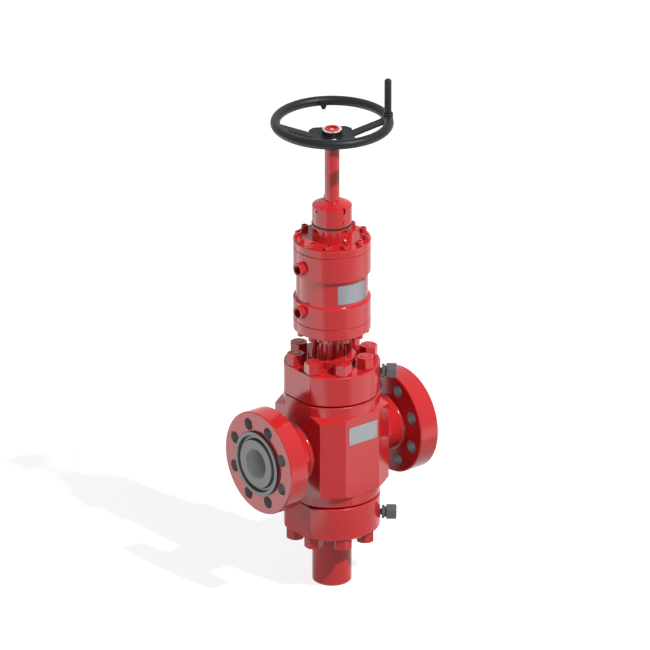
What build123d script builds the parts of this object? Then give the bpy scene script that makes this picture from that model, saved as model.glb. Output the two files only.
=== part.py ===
from build123d import *
from math import asin, degrees, radians, sqrt, tan
import os

# Hydraulic gate valve in millimetres. X is the flow bore, Z is the stem, and they cross at the origin.

# Flow ends: 3 1/8 in flanges for 5000 psi
BORE_DIAMETER = 79.4
FACE_TO_FACE = 490.0
FLANGE_DIAMETER = 266.7
FLANGE_THICKNESS = 64.0
RAISED_FACE_DIAMETER = 168.1
RAISED_FACE_HEIGHT = 7.9
RAISED_FACE_EDGE = 1.0
RING_GROOVE_PITCH_DIAMETER = 136.5
RING_GROOVE_WIDTH = 11.9
RING_GROOVE_DEPTH = 7.9
RING_GROOVE_ANGLE = 23
FLANGE_BOLT_CIRCLE = 203.2
LEFT_BOLT_HOLE = 31.8
RIGHT_BOLT_HOLE = 32.2
FLANGE_BOLT_COUNT = 8
HUB_DIAMETER = 133.4
HUB_FILLET = 9.7
FLANGE_EDGE = 2.5

# Forged body block: an octagon with a turned shoulder and collar at each end
BODY_HALF_LENGTH = 111.3
BODY_END_FACE_WIDTH = 180.6
BODY_HALF_DEPTH = 121.9
BODY_FRONT_FACE_WIDTH = 107.0
BODY_HALF_HEIGHT = 137.0
BODY_SHOULDER_BOTTOM = 100.0
BODY_COLLAR_BOTTOM = 110.5
BODY_COLLAR_DIAMETER = 242.0
BODY_EDGE_RADIUS = 3.0

# Gate, seats and guides
STROKE = 86.0
GATE_THICKNESS = 34.0
GATE_WIDTH = 108.0
SEAT_DIAMETER = 119.8
SEAT_LAND_DIAMETER = 100.0
SEAT_LAND_HEIGHT = 1.0
SEAT_LENGTH = 32.0
SEAT_SEAL_WIDTH = 5.0
SEAT_SEAL_DEPTH = 3.2
CAVITY_LENGTH = 50.0
CAVITY_WIDTH = 124.0
CAVITY_CORNER = 8.0
TEE_LIP = 10.0
TEE_HEAD_HEIGHT = 12.0
TEE_HEAD_DIAMETER = 54.0
TEE_NECK_DIAMETER = 32.0
TEE_FLOOR = 3.5
TEE_NECK_ROOM = 2.0
GATE_END_ROOM = 6.0
GATE_CHAMFER = 3.0

# Bonnets and their bolting
BONNET_GAP = 4.0
BONNET_DIAMETER = 243.0
UPPER_BONNET_THICKNESS = 78.0
LOWER_BONNET_THICKNESS = 87.0
BONNET_BOSS_DIAMETER = 120.0
BONNET_BOSS_HEIGHT = 19.0
BONNET_EDGE = 2.5
BONNET_BOLT_COUNT = 8
BONNET_STUD_DIAMETER = 25.4
BONNET_STUD_ENGAGEMENT = 34.0
UPPER_STUD_STAND_OUT = 1.0
LOWER_STUD_STAND_OUT = 4.0
BONNET_NUT_FLATS = 41.3
BONNET_NUT_HEIGHT = 30.0
GASKET_PITCH_DIAMETER = 144.0
GASKET_WIDTH = 9.0
GASKET_DEPTH = 5.0
GASKET_WALL = 6.05
BONNET_POCKET_LENGTH = 40.0
BONNET_POCKET_WIDTH = 116.0

# Stems and their packing
STEM_DIAMETER = 38.0
PACKING_FLOOR = 8.0
PACKING_DIAMETER = 62.0
PACKING_ADAPTER = 8.0
PACKING_RING_PITCH = 6.0
PACKING_RING_COUNT = 4
PACKING_VEE = 4.0
LOWER_GLAND_HEIGHT = 12.0
LOWER_GLAND_GAP = 0.5
GLAND_PIN_HOLE = 5.0
GLAND_PIN_HOLE_DEPTH = 6.0
BALANCE_STEM_REACH = 22.0

# Tail housing
TAIL_DIAMETER = 100.0
TAIL_LENGTH = 156.0
TAIL_BORE = 60.0
TAIL_END_WALL = 12.0
TAIL_SPIGOT_DIAMETER = 84.0
TAIL_SPIGOT_LENGTH = 12.0
TAIL_EDGE = 4.0

# Neck: packing gland and the long screws that pull the cylinder down on it
GLAND_DIAMETER = 70.0
GLAND_HEIGHT = 38.0
SPIGOT_DIAMETER = 82.0
SPIGOT_HEIGHT = 35.4
NECK_SCREW_DIAMETER = 14.0
NECK_SCREW_CIRCLE = 87.0
NECK_SCREW_COUNT = 4
NECK_SCREW_ENGAGEMENT = 32.0

# Hydraulic cylinder
CYLINDER_DIAMETER = 195.6
CYLINDER_BORE = 140.0
LOWER_HEAD_THICKNESS = 28.3
UPPER_HEAD_THICKNESS = 20.6
BARREL_LENGTH = 193.2
LOWER_BAND_LENGTH = 56.5
UPPER_BAND_LENGTH = 65.9
WAIST_DIAMETER = 181.3
WAIST_FILLET = 3.0
PARTING_EDGE = 1.5
LOWER_PILOT_HEIGHT = 22.3
UPPER_PILOT_HEIGHT = 27.9
HEAD_SCREW_DIAMETER = 12.0
HEAD_SCREW_CIRCLE = 170.0
HEAD_SCREW_COUNT = 12
HEAD_SCREW_ENGAGEMENT = 24.0
HEAD_SCREW_HOLE_DEPTH = 28.0
ROD_SEAL_DIAMETER = 52.0
ROD_SEAL_HEIGHT = 9.0
LOWER_SEAL_RISE = 8.0
UPPER_SEAL_RISE = 10.0
PILOT_RING_WIDTH = 5.0
PILOT_RING_DEPTH = 3.6

# Hydraulic ports: 3/4 in half couplings
PORT_DIAMETER = 35.0
PORT_BORE = 26.0
PORT_BORE_DEPTH = 19.5
PORT_STAND_OUT = 13.5
PORT_SEAT_DEPTH = 8.0
PORT_DRILL = 6.0
PORT_LAND_GAP = 1.0
UPPER_PORT_DROP = 39.9
LOWER_PORT_RISE = 36.3

# Piston
PISTON_HUB_DIAMETER = 90.0
PISTON_SEAL_WIDTH = 9.0
PISTON_SEAL_DEPTH = 6.0
PISTON_NUT_FLATS = 41.0
PISTON_NUT_HEIGHT = 16.0
PISTON_NUT_POCKET = 50.0
TAIL_ROD_DIAMETER = 28.0

# Manual override on the upper head
HOUSING_DIAMETER = 100.0
HOUSING_BASE_HEIGHT = 22.5
HOUSING_SPIGOT_DIAMETER = 76.0
HOUSING_SPIGOT_LENGTH = 12.4
HOUSING_NECK_DIAMETER = 84.0
HOUSING_NECK_HEIGHT = 36.0
LOCK_RING_HEIGHT = 16.0
LOCK_RING_SLOT_WIDTH = 17.0
LOCK_RING_SLOT_DEPTH = 5.0
LOCK_RING_SLOT_HEIGHT = 11.0
SEAL_RING_DIAMETER = 103.0
SEAL_RING_HEIGHT = 4.0
CAP_DIAMETER = 100.0
CAP_HEIGHT = 48.0
CAP_CONE_HEIGHT = 13.0
CAP_CONE_TOP_DIAMETER = 42.0
CAP_EDGE = 1.5
CAP_SPANNER_WIDTH = 7.0
CAP_SPANNER_SLOT_HEIGHT = 13.0
CAP_SPANNER_HOLE_DROP = 8.5
CAP_SET_SCREW_DIAMETER = 8.0
CAP_SET_SCREW_RISE = 12.0
CAP_SET_SCREW_STAND_OUT = 3.0
ROD_DIAMETER = 37.5
ROD_TOP = 851.0
ROD_COLLAR_DIAMETER = 72.0
ROD_COLLAR_HEIGHT = 14.0
ROD_SKIRT_DIAMETER = 42.0
ROD_SKIRT_LENGTH = 6.0
THRUST_BEARING_DIAMETER = 73.0
THRUST_BEARING_BORE = 45.0
THRUST_WASHER_HEIGHT = 2.0
THRUST_CAGE_HEIGHT = 4.0
DRIVE_SCREW_DIAMETER = 25.0
DRIVE_NUT_RISE = 30.0
DRIVE_NUT_LENGTH = 30.0
DRIVE_SCREW_ENTRY = 2.0
DRIVE_SCREW_ROOM = 4.0
ROD_CENTRE = 3.0
WIPER_DIAMETER = 48.0
WIPER_HEIGHT = 6.0
WIPER_RISE = 12.0
NIPPLE_DIAMETER = 7.0
NIPPLE_LENGTH = 6.5
NIPPLE_SHANK_LENGTH = 4.5

# Handwheel
RIM_RADIUS = 142.0
RIM_SECTION = 24.6
RIM_HEIGHT = 864.6
RIM_ARC = 20.0
WHEEL_PLATE_HEIGHT = 829.0
WHEEL_PLATE_THICKNESS = 7.0
WHEEL_PLATE_LENGTH = 108.0
WHEEL_PLATE_WIDTH = 100.0
WHEEL_PLATE_CORNER = 14.0
WHEEL_PLATE_ANGLE = -120.4
WHEEL_PLATE_HOLE = 10.0
WHEEL_PLATE_HOLE_RADIUS = 33.0
SPOKE_WIDTH = 27.0
SPOKE_RISE = 30.0
SPOKE_ANGLES = (-25.5, 144.7, -120.4)
WHEEL_HUB_DIAMETER = 64.0
WHEEL_HUB_HEIGHT = 26.0
WHEEL_HUB_CHAMFER = 6.0
WHEEL_NECK_DIAMETER = 50.0
WHEEL_NECK_HEIGHT = 13.5
RETAINING_RING_HEIGHT = 2.5
RETAINING_GROOVE_DEPTH = 1.5
KEY_SIZE = 6.0
KEY_LENGTH = 24.0
RIM_LUG_ANGLE = 61.0
RIM_LUG_WIDTH = 24.0
RIM_LUG_DEPTH = 22.0
RIM_LUG_THICKNESS = 6.0
HANDLE_ANGLE = -28.0
HANDLE_DIAMETER = 18.0
HANDLE_TOP = 972.0
HANDLE_BOSS_DIAMETER = 26.0
HANDLE_BOSS_HEIGHT = 4.0
SPINDLE_DIAMETER = 10.0
SPINDLE_NUT_FLATS = 17.0
SPINDLE_NUT_HEIGHT = 8.0
HANDLE_END_WALL = 9.0

# Grease fittings on the bonnets
FITTING_ANGLE = -40.0
UPPER_FITTING_RISE = 49.0
LOWER_FITTING_DROP = 57.0
FITTING_SPOTFACE_DIAMETER = 32.0
FITTING_SPOTFACE_DEPTH = 2.0
FITTING_SHANK_DIAMETER = 16.0
FITTING_SHANK_DEPTH = 14.0
FITTING_NECK_LENGTH = 6.0
FITTING_FLANGE_FLATS = 33.0
FITTING_FLANGE_LENGTH = 7.0
FITTING_THREAD_DIAMETER = 26.0
FITTING_THREAD_LENGTH = 20.0
FITTING_CAP_FLATS = 36.0
FITTING_CAP_GAP = 4.0
FITTING_CAP_LENGTH = 26.0

# Blank metal plates and their drive screws
PLATE_THICKNESS = 1.2
PLATE_CORNER = 3.0
BODY_PLATE_LENGTH = 90.0
BODY_PLATE_HEIGHT = 48.5
BODY_PLATE_SHIFT = 1.25
BODY_PLATE_RISE = 59.5
BARREL_PLATE_WIDTH = 90.0
BARREL_PLATE_HEIGHT = 51.0
BARREL_PLATE_RISE = 92.0
PLATE_SCREW_INSET = 5.0
PLATE_SCREW_HEAD = 5.0
PLATE_SCREW_HEAD_HEIGHT = 1.2
PLATE_SCREW_SHANK = 3.0
PLATE_SCREW_DEPTH = 6.0

# Chamfers of small parts, and how far cutters and fused pieces reach past a face
SHARP_EDGE = 0.5
SMALL_EDGE = 1.0
BOLT_EDGE = 1.5
PAST = 1.0

# Clearances
THREAD_CLEARANCE = 0.05
SEAT_CLEARANCE = 0.1
CURVED_PLATE_CLEARANCE = 0.2
GATE_CLEARANCE = 0.1
RUNNING_CLEARANCE = 0.3
SEAL_CLEARANCE = 0.1
BOLT_CLEARANCE = 0.8
STOP_GAP = 0.3
BEARING_CLEARANCE = 0.05

# Levels above the bore's axis
BONNET_FACE = BODY_HALF_HEIGHT + BONNET_GAP
UPPER_BONNET_TOP = BONNET_FACE + UPPER_BONNET_THICKNESS
BOSS_TOP = UPPER_BONNET_TOP + BONNET_BOSS_HEIGHT
LOWER_BONNET_BOTTOM = BONNET_FACE + LOWER_BONNET_THICKNESS
GATE_TOP = STROKE + SEAT_LAND_DIAMETER / 2 + TEE_LIP + TEE_HEAD_HEIGHT + TEE_FLOOR
GATE_BOTTOM = STROKE - GATE_TOP
BONNET_BOLT_CIRCLE = GASKET_PITCH_DIAMETER + GASKET_WIDTH + 2 * GASKET_WALL + BONNET_STUD_DIAMETER
POCKET_END = GATE_TOP + GATE_END_ROOM
PACKING_START = POCKET_END + PACKING_FLOOR
PACKING_LENGTH = 2 * PACKING_ADAPTER + PACKING_RING_COUNT * PACKING_RING_PITCH
PACKING_END = PACKING_START + PACKING_LENGTH
LOWER_PACKING_END = LOWER_BONNET_BOTTOM - LOWER_GLAND_GAP - LOWER_GLAND_HEIGHT
LOWER_PACKING_START = LOWER_PACKING_END - PACKING_LENGTH
SPIGOT_BOTTOM = BOSS_TOP + GLAND_HEIGHT
LOWER_HEAD_BOTTOM = SPIGOT_BOTTOM + SPIGOT_HEIGHT
BARREL_BOTTOM = LOWER_HEAD_BOTTOM + LOWER_HEAD_THICKNESS
BARREL_TOP = BARREL_BOTTOM + BARREL_LENGTH
LOWER_PILOT_TOP = BARREL_BOTTOM + LOWER_PILOT_HEIGHT
UPPER_PILOT_BOTTOM = BARREL_TOP - UPPER_PILOT_HEIGHT
UPPER_HEAD_TOP = BARREL_TOP + UPPER_HEAD_THICKNESS
LOWER_PORT = BARREL_BOTTOM + LOWER_PORT_RISE
UPPER_PORT = BARREL_TOP - UPPER_PORT_DROP
PISTON_TOP = UPPER_PILOT_BOTTOM - STOP_GAP
PISTON_BOTTOM = LOWER_PILOT_TOP + STROKE + STOP_GAP
LAND_TOP = UPPER_PORT - PORT_DRILL / 2 - PORT_LAND_GAP
LAND_BOTTOM = LOWER_PORT + PORT_DRILL / 2 + PORT_LAND_GAP + STROKE
LOWER_SEAL_LEVEL = LOWER_HEAD_BOTTOM + LOWER_SEAL_RISE
UPPER_SEAL_LEVEL = UPPER_PILOT_BOTTOM + UPPER_SEAL_RISE
NECK_SCREW_SEAT = LOWER_PILOT_TOP - NECK_SCREW_DIAMETER - SMALL_EDGE
LOCK_RING_BOTTOM = UPPER_HEAD_TOP + HOUSING_BASE_HEIGHT
LOCK_RING_TOP = LOCK_RING_BOTTOM + LOCK_RING_HEIGHT
CAP_BOTTOM = LOCK_RING_TOP + SEAL_RING_HEIGHT
CAP_RIM = CAP_BOTTOM + CAP_HEIGHT
CAP_TOP = CAP_RIM + CAP_CONE_HEIGHT
THRUST_BEARING_HEIGHT = 2 * THRUST_WASHER_HEIGHT + THRUST_CAGE_HEIGHT
COLLAR_BOTTOM = LOCK_RING_TOP + THRUST_BEARING_HEIGHT
COLLAR_TOP = COLLAR_BOTTOM + ROD_COLLAR_HEIGHT
CAP_CEILING = COLLAR_TOP + THRUST_BEARING_HEIGHT
WIPER_BOTTOM = CAP_CEILING + WIPER_RISE
ROD_BOTTOM = COLLAR_BOTTOM - ROD_SKIRT_LENGTH
DRIVE_NUT_BOTTOM = ROD_BOTTOM + DRIVE_NUT_RISE
DRIVE_NUT_TOP = DRIVE_NUT_BOTTOM + DRIVE_NUT_LENGTH
DRIVE_SCREW_BOTTOM = DRIVE_NUT_BOTTOM - DRIVE_SCREW_ENTRY
DRIVE_SCREW_TOP = DRIVE_NUT_TOP + STROKE
PLATE_TOP = WHEEL_PLATE_HEIGHT + WHEEL_PLATE_THICKNESS / 2
PLATE_BOTTOM = WHEEL_PLATE_HEIGHT - WHEEL_PLATE_THICKNESS / 2
HUB_BOTTOM = PLATE_BOTTOM - WHEEL_HUB_HEIGHT
HUB_TOP = PLATE_TOP + WHEEL_NECK_HEIGHT
RIM_TOP = RIM_HEIGHT + RIM_SECTION / 2
HANDLE_BOTTOM = RIM_TOP + HANDLE_BOSS_HEIGHT

STEM_BORE = STEM_DIAMETER / 2 + RUNNING_CLEARANCE
SEAT_FACE = GATE_THICKNESS / 2 + GATE_CLEARANCE
SEAT_BACK = SEAT_FACE + SEAT_LENGTH


def turned(*corners):
    """Turn about Z the half section with these (radius, height) corners."""
    return revolve(Plane.XZ * make_face(Polyline(*corners, close=True)), Axis.Z)


def disc(radius, bottom, top, edge=SHARP_EDGE):
    """Round bar on Z with both rims chamfered."""
    return turned(
        (0, bottom), (radius - edge, bottom), (radius, bottom + edge),
        (radius, top - edge), (radius - edge, top), (0, top),
    )


def ring(outer, inner, bottom, top):
    """Plain ring on Z."""
    return turned((inner, bottom), (outer, bottom), (outer, top), (inner, top))


def hole(radius, bottom, top):
    """Round cutter on Z."""
    return Pos(0, 0, (bottom + top) / 2) * Cylinder(radius, top - bottom)


def around(part, count, first=0.0):
    """Copies of a part spaced evenly about Z."""
    return [Rot(0, 0, first + 360 * turn / count) * part for turn in range(count)]


def on_face(angle, radius, height):
    """Place whose Z axis points outwards from the stem at this angle, radius and height."""
    return Pos(0, 0, height) * Rot(0, 0, angle) * Pos(radius, 0, 0) * Rot(0, 90, 0)


def hexagon(flats, height):
    """Hexagonal bar on Z with both ends chamfered at 30 degrees."""
    corner = flats / sqrt(3)
    land = 0.475 * flats
    drop = (corner - land) * tan(radians(30))
    bar = extrude(RegularPolygon(flats / 2, 6, major_radius=False), height)
    return bar & turned(
        (0, 0), (land, 0), (corner, drop), (corner, height - drop), (land, height), (0, height),
    )


def cap_screw(diameter, length):
    """Socket head screw with its seat at Z = 0 and its shank pointing down."""
    edge = diameter / 12
    head = disc(0.75 * diameter, 0, diameter, edge)
    key = RegularPolygon(0.42 * diameter, 6, major_radius=False)
    socket = Pos(0, 0, 0.4 * diameter) * extrude(key, diameter)
    return head + disc(diameter / 2, -length, edge, edge) - socket


def packing_set(start, direction):
    """Chevron rings between two adapters, from the level start along direction."""
    inner = STEM_DIAMETER / 2 + SEAL_CLEARANCE
    outer = PACKING_DIAMETER / 2 - SEAL_CLEARANCE
    middle = (inner + outer) / 2
    vee = direction * PACKING_VEE
    first = start + direction * PACKING_ADAPTER
    pitch = direction * PACKING_RING_PITCH
    last = first + PACKING_RING_COUNT * pitch
    end = start + direction * PACKING_LENGTH
    rings = [turned((inner, start), (outer, start), (outer, first), (middle, first + vee), (inner, first))]
    for turn in range(PACKING_RING_COUNT):
        near = first + turn * pitch
        far = near + pitch
        rings.append(turned(
            (inner, near), (middle, near + vee), (outer, near),
            (outer, far), (middle, far + vee), (inner, far),
        ))
    rings.append(turned((inner, last), (middle, last + vee), (outer, last), (outer, end), (inner, end)))
    return rings


# Body and seats

def flow_end(bolt_hole_diameter):
    """One hub and flange on Z, from inside the body block out to the raised face."""
    tip = FACE_TO_FACE / 2
    face = tip - RAISED_FACE_HEIGHT
    back = tip - FLANGE_THICKNESS
    hub = HUB_DIAMETER / 2
    rim = FLANGE_DIAMETER / 2
    raised = RAISED_FACE_DIAMETER / 2
    section = make_face(Polyline(
        (0, CAVITY_LENGTH), (hub, CAVITY_LENGTH), (hub, back), (rim - FLANGE_EDGE, back),
        (rim, back + FLANGE_EDGE), (rim, face - FLANGE_EDGE), (rim - FLANGE_EDGE, face), (raised, face),
        (raised, tip - RAISED_FACE_EDGE), (raised - RAISED_FACE_EDGE, tip), (0, tip),
        close=True,
    ))
    section = fillet(section.vertices().sort_by_distance((hub, back))[0], HUB_FILLET)
    flange = revolve(Plane.XZ * section, Axis.Z)
    groove = RING_GROOVE_PITCH_DIAMETER / 2
    half = RING_GROOVE_WIDTH / 2
    floor = half - RING_GROOVE_DEPTH * tan(radians(RING_GROOVE_ANGLE))
    flange -= turned(
        (groove - half, tip), (groove - floor, tip - RING_GROOVE_DEPTH),
        (groove + floor, tip - RING_GROOVE_DEPTH), (groove + half, tip),
    )
    bolt_hole = Pos(FLANGE_BOLT_CIRCLE / 2, 0, 0) * hole(bolt_hole_diameter / 2, back - PAST, tip)
    return flange - around(bolt_hole, FLANGE_BOLT_COUNT, 180 / FLANGE_BOLT_COUNT)


def valve_body():
    across = BODY_END_FACE_WIDTH / 2
    along = BODY_FRONT_FACE_WIDTH / 2
    octagon = Polyline(
        (BODY_HALF_LENGTH, -across), (BODY_HALF_LENGTH, across),
        (along, BODY_HALF_DEPTH), (-along, BODY_HALF_DEPTH),
        (-BODY_HALF_LENGTH, across), (-BODY_HALF_LENGTH, -across),
        (-along, -BODY_HALF_DEPTH), (along, -BODY_HALF_DEPTH),
        close=True,
    )
    block = extrude(make_face(octagon), BODY_HALF_HEIGHT, both=True)
    block = fillet(block.edges().filter_by(Axis.Z), BODY_EDGE_RADIUS)
    corner = sqrt(BODY_HALF_LENGTH ** 2 + across ** 2)
    collar = BODY_COLLAR_DIAMETER / 2
    shoulder = [
        (corner, BODY_SHOULDER_BOTTOM), (collar, BODY_COLLAR_BOTTOM),
        (collar, BODY_HALF_HEIGHT - BONNET_EDGE), (collar - BONNET_EDGE, BODY_HALF_HEIGHT),
    ]
    lower = [(radius, -height) for radius, height in reversed(shoulder)]
    block &= turned((0, -BODY_HALF_HEIGHT), *lower, *shoulder, (0, BODY_HALF_HEIGHT))
    body = block + Rot(0, 90, 0) * flow_end(RIGHT_BOLT_HOLE) + Rot(0, -90, 0) * flow_end(LEFT_BOLT_HOLE)
    hub_roots = [
        edge for edge in body.edges().filter_by(GeomType.CIRCLE)
        if abs(edge.radius - HUB_DIAMETER / 2) < 0.01
        and abs(abs(edge.arc_center.X) - BODY_HALF_LENGTH) < 0.01
    ]
    body = fillet(hub_roots, HUB_FILLET)
    body -= Rot(0, 90, 0) * hole(BORE_DIAMETER / 2, -FACE_TO_FACE, FACE_TO_FACE)
    body -= Rot(0, 90, 0) * hole(SEAT_DIAMETER / 2 + SEAT_CLEARANCE, -SEAT_BACK, SEAT_BACK)
    cavity = RectangleRounded(CAVITY_LENGTH, CAVITY_WIDTH, CAVITY_CORNER)
    body -= extrude(cavity, BODY_HALF_HEIGHT, both=True)
    tapped = Pos(BONNET_BOLT_CIRCLE / 2, 0, 0) * hole(
        BONNET_STUD_DIAMETER / 2 + THREAD_CLEARANCE, BODY_HALF_HEIGHT - BONNET_STUD_ENGAGEMENT,
        BODY_HALF_HEIGHT,
    )
    for side in (Rot(0, 0, 0), Rot(180, 0, 0)):
        body -= side * gasket_groove(BODY_HALF_HEIGHT - GASKET_DEPTH, BODY_HALF_HEIGHT)
        body -= [side * cut for cut in around(tapped, BONNET_BOLT_COUNT, 180 / BONNET_BOLT_COUNT)]
    return body - [place * plate_screw_hole() for place in body_plate_places()]


def gasket_groove(bottom, top):
    pitch = GASKET_PITCH_DIAMETER / 2
    return ring(pitch + GASKET_WIDTH / 2, pitch - GASKET_WIDTH / 2, bottom, top)


def seat_ring():
    """Seat on Z: sealing land towards the gate, back in the body's pocket, and a seal groove."""
    outer = SEAT_DIAMETER / 2
    land = SEAT_LAND_DIAMETER / 2
    seat = turned(
        (BORE_DIAMETER / 2, SEAT_FACE), (land, SEAT_FACE), (land, SEAT_FACE + SEAT_LAND_HEIGHT),
        (outer, SEAT_FACE + SEAT_LAND_HEIGHT), (outer, SEAT_BACK), (BORE_DIAMETER / 2, SEAT_BACK),
    )
    bottom, top = seat_seal_levels()
    return seat - ring(outer, outer - SEAT_SEAL_DEPTH, bottom, top)


def seat_seal_levels():
    middle = (CAVITY_LENGTH / 2 + SEAT_BACK) / 2
    return middle - SEAT_SEAL_WIDTH / 2, middle + SEAT_SEAL_WIDTH / 2


def seat_seals():
    bottom, top = seat_seal_levels()
    outer = SEAT_DIAMETER / 2
    seal = ring(outer, outer - SEAT_SEAL_DEPTH, bottom + SEAL_CLEARANCE, top - SEAL_CLEARANCE)
    return [Rot(0, 90, 0) * seal, Rot(0, -90, 0) * seal]


def gate_guides():
    """Two bars that keep the gate in line, one on each side of the cavity."""
    inner = GATE_WIDTH / 2 + RUNNING_CLEARANCE
    outer = CAVITY_WIDTH / 2 - SEAT_CLEARANCE
    bar = Box(GATE_THICKNESS, outer - inner, 2 * BODY_HALF_HEIGHT)
    return [Pos(0, side * (inner + outer) / 2, 0) * bar for side in (1, -1)]


# Bonnets

def bonnet_blank(thickness, packing_start, boss_height=0.0):
    """Round bonnet from its face upwards, with flats in line with the body's end faces."""
    radius = BONNET_DIAMETER / 2
    top = BONNET_FACE + thickness
    blank = disc(radius, BONNET_FACE, top, BONNET_EDGE)
    blank &= Pos(0, 0, BONNET_FACE + thickness / 2) * Box(2 * BODY_HALF_LENGTH, 2 * radius, thickness)
    if boss_height:
        blank += disc(BONNET_BOSS_DIAMETER / 2, top - PAST, top + boss_height, BONNET_EDGE)
    blank -= extrude(RectangleRounded(BONNET_POCKET_LENGTH, BONNET_POCKET_WIDTH, CAVITY_CORNER), POCKET_END)
    blank -= hole(STEM_BORE, 0, top + boss_height + PAST)
    blank -= hole(PACKING_DIAMETER / 2, packing_start, top + boss_height + PAST)
    blank -= gasket_groove(BONNET_FACE, BONNET_FACE + GASKET_DEPTH)
    stud_hole = hole(BONNET_STUD_DIAMETER / 2 + BOLT_CLEARANCE, 0, top + PAST)
    stud_hole = Pos(BONNET_BOLT_CIRCLE / 2, 0, 0) * stud_hole
    return blank - around(stud_hole, BONNET_BOLT_COUNT, 180 / BONNET_BOLT_COUNT)


def fitting_cut(height):
    """Spotface and tapped hole for a grease fitting in a bonnet's side."""
    face = BONNET_DIAMETER / 2 - FITTING_SPOTFACE_DEPTH
    spotface = hole(FITTING_SPOTFACE_DIAMETER / 2, 0, 3 * FITTING_SPOTFACE_DEPTH)
    tapped = hole(FITTING_SHANK_DIAMETER / 2 + THREAD_CLEARANCE, -FITTING_SHANK_DEPTH, PAST)
    return on_face(FITTING_ANGLE, face, height) * (spotface + tapped)


def upper_bonnet():
    bonnet = bonnet_blank(UPPER_BONNET_THICKNESS, PACKING_START, BONNET_BOSS_HEIGHT)
    tapped = Pos(NECK_SCREW_CIRCLE / 2, 0, 0) * hole(
        NECK_SCREW_DIAMETER / 2 + THREAD_CLEARANCE, BOSS_TOP - NECK_SCREW_ENGAGEMENT, BOSS_TOP + PAST,
    )
    bonnet -= around(tapped, NECK_SCREW_COUNT, 180 / NECK_SCREW_COUNT)
    return bonnet - fitting_cut(BONNET_FACE + UPPER_FITTING_RISE)


def lower_bonnet():
    bottom = -LOWER_BONNET_BOTTOM
    bonnet = Rot(180, 0, 0) * bonnet_blank(LOWER_BONNET_THICKNESS, LOWER_PACKING_START)
    bonnet -= hole(TAIL_SPIGOT_DIAMETER / 2 + THREAD_CLEARANCE, bottom - PAST, bottom + TAIL_SPIGOT_LENGTH)
    return bonnet - fitting_cut(-BONNET_FACE - LOWER_FITTING_DROP)


def bonnet_gasket():
    inner = GASKET_PITCH_DIAMETER / 2 - GASKET_WIDTH / 2 + THREAD_CLEARANCE
    outer = GASKET_PITCH_DIAMETER / 2 + GASKET_WIDTH / 2 - THREAD_CLEARANCE
    bottom = BODY_HALF_HEIGHT - GASKET_DEPTH
    top = BONNET_FACE + GASKET_DEPTH
    return turned(
        (inner + SMALL_EDGE, bottom), (outer - SMALL_EDGE, bottom), (outer, bottom + SMALL_EDGE),
        (outer, top - SMALL_EDGE), (outer - SMALL_EDGE, top), (inner + SMALL_EDGE, top),
        (inner, top - SMALL_EDGE), (inner, bottom + SMALL_EDGE),
    )


def bonnet_studs(nut_seat, stand_out):
    bottom = BODY_HALF_HEIGHT - BONNET_STUD_ENGAGEMENT
    top = nut_seat + BONNET_NUT_HEIGHT + stand_out
    stud = Pos(BONNET_BOLT_CIRCLE / 2, 0, 0) * disc(BONNET_STUD_DIAMETER / 2, bottom, top, BOLT_EDGE)
    return around(stud, BONNET_BOLT_COUNT, 180 / BONNET_BOLT_COUNT)


def bonnet_nuts(nut_seat):
    nut = hexagon(BONNET_NUT_FLATS, BONNET_NUT_HEIGHT)
    nut -= hole(BONNET_STUD_DIAMETER / 2 + THREAD_CLEARANCE, -PAST, BONNET_NUT_HEIGHT + PAST)
    nut = Pos(BONNET_BOLT_CIRCLE / 2, 0, nut_seat) * nut
    return around(nut, BONNET_BOLT_COUNT, 180 / BONNET_BOLT_COUNT)


def packing_gland():
    """Sleeve of the neck, whose lower end presses on the packing."""
    body = GLAND_DIAMETER / 2
    spigot = PACKING_DIAMETER / 2 - SEAL_CLEARANCE
    return turned(
        (STEM_BORE, PACKING_END), (spigot, PACKING_END), (spigot, BOSS_TOP),
        (body, BOSS_TOP), (body, SPIGOT_BOTTOM), (STEM_BORE, SPIGOT_BOTTOM),
    )


def lower_packing_gland():
    outer = PACKING_DIAMETER / 2 - THREAD_CLEARANCE
    bottom = -LOWER_PACKING_END - LOWER_GLAND_HEIGHT
    pin_hole = hole(GLAND_PIN_HOLE / 2, bottom, bottom + GLAND_PIN_HOLE_DEPTH)
    pin_hole = Pos((outer + STEM_BORE) / 2, 0, 0) * pin_hole
    return ring(outer, STEM_BORE, bottom, -LOWER_PACKING_END) - around(pin_hole, 2)


def tail_housing():
    """Closed cover round the balance stem, screwed into the lower bonnet."""
    top = -LOWER_BONNET_BOTTOM
    bottom = top - TAIL_LENGTH
    housing = disc(TAIL_DIAMETER / 2, bottom, top, TAIL_EDGE)
    housing += ring(TAIL_SPIGOT_DIAMETER / 2, TAIL_BORE / 2, top - PAST, top + TAIL_SPIGOT_LENGTH)
    housing -= hole(TAIL_BORE / 2, bottom + TAIL_END_WALL, top + TAIL_SPIGOT_LENGTH)
    return housing - hole(PACKING_DIAMETER / 2 + BOLT_CLEARANCE, top - PAST, top + TAIL_SPIGOT_LENGTH)


# Gate and stems

def tee_slot(level):
    """Slot across the gate's end for a stem's tee head, below the level of that end."""
    neck = TEE_NECK_DIAMETER + 2 * RUNNING_CLEARANCE
    head = TEE_HEAD_DIAMETER + 2 * RUNNING_CLEARANCE
    height = TEE_HEAD_HEIGHT + RUNNING_CLEARANCE
    through = 2 * GATE_THICKNESS
    return [
        Pos(0, 0, level) * Box(through, neck, 2 * TEE_LIP + height),
        Pos(0, 0, level - TEE_LIP - height / 2) * Box(through, head, height),
    ]


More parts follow.
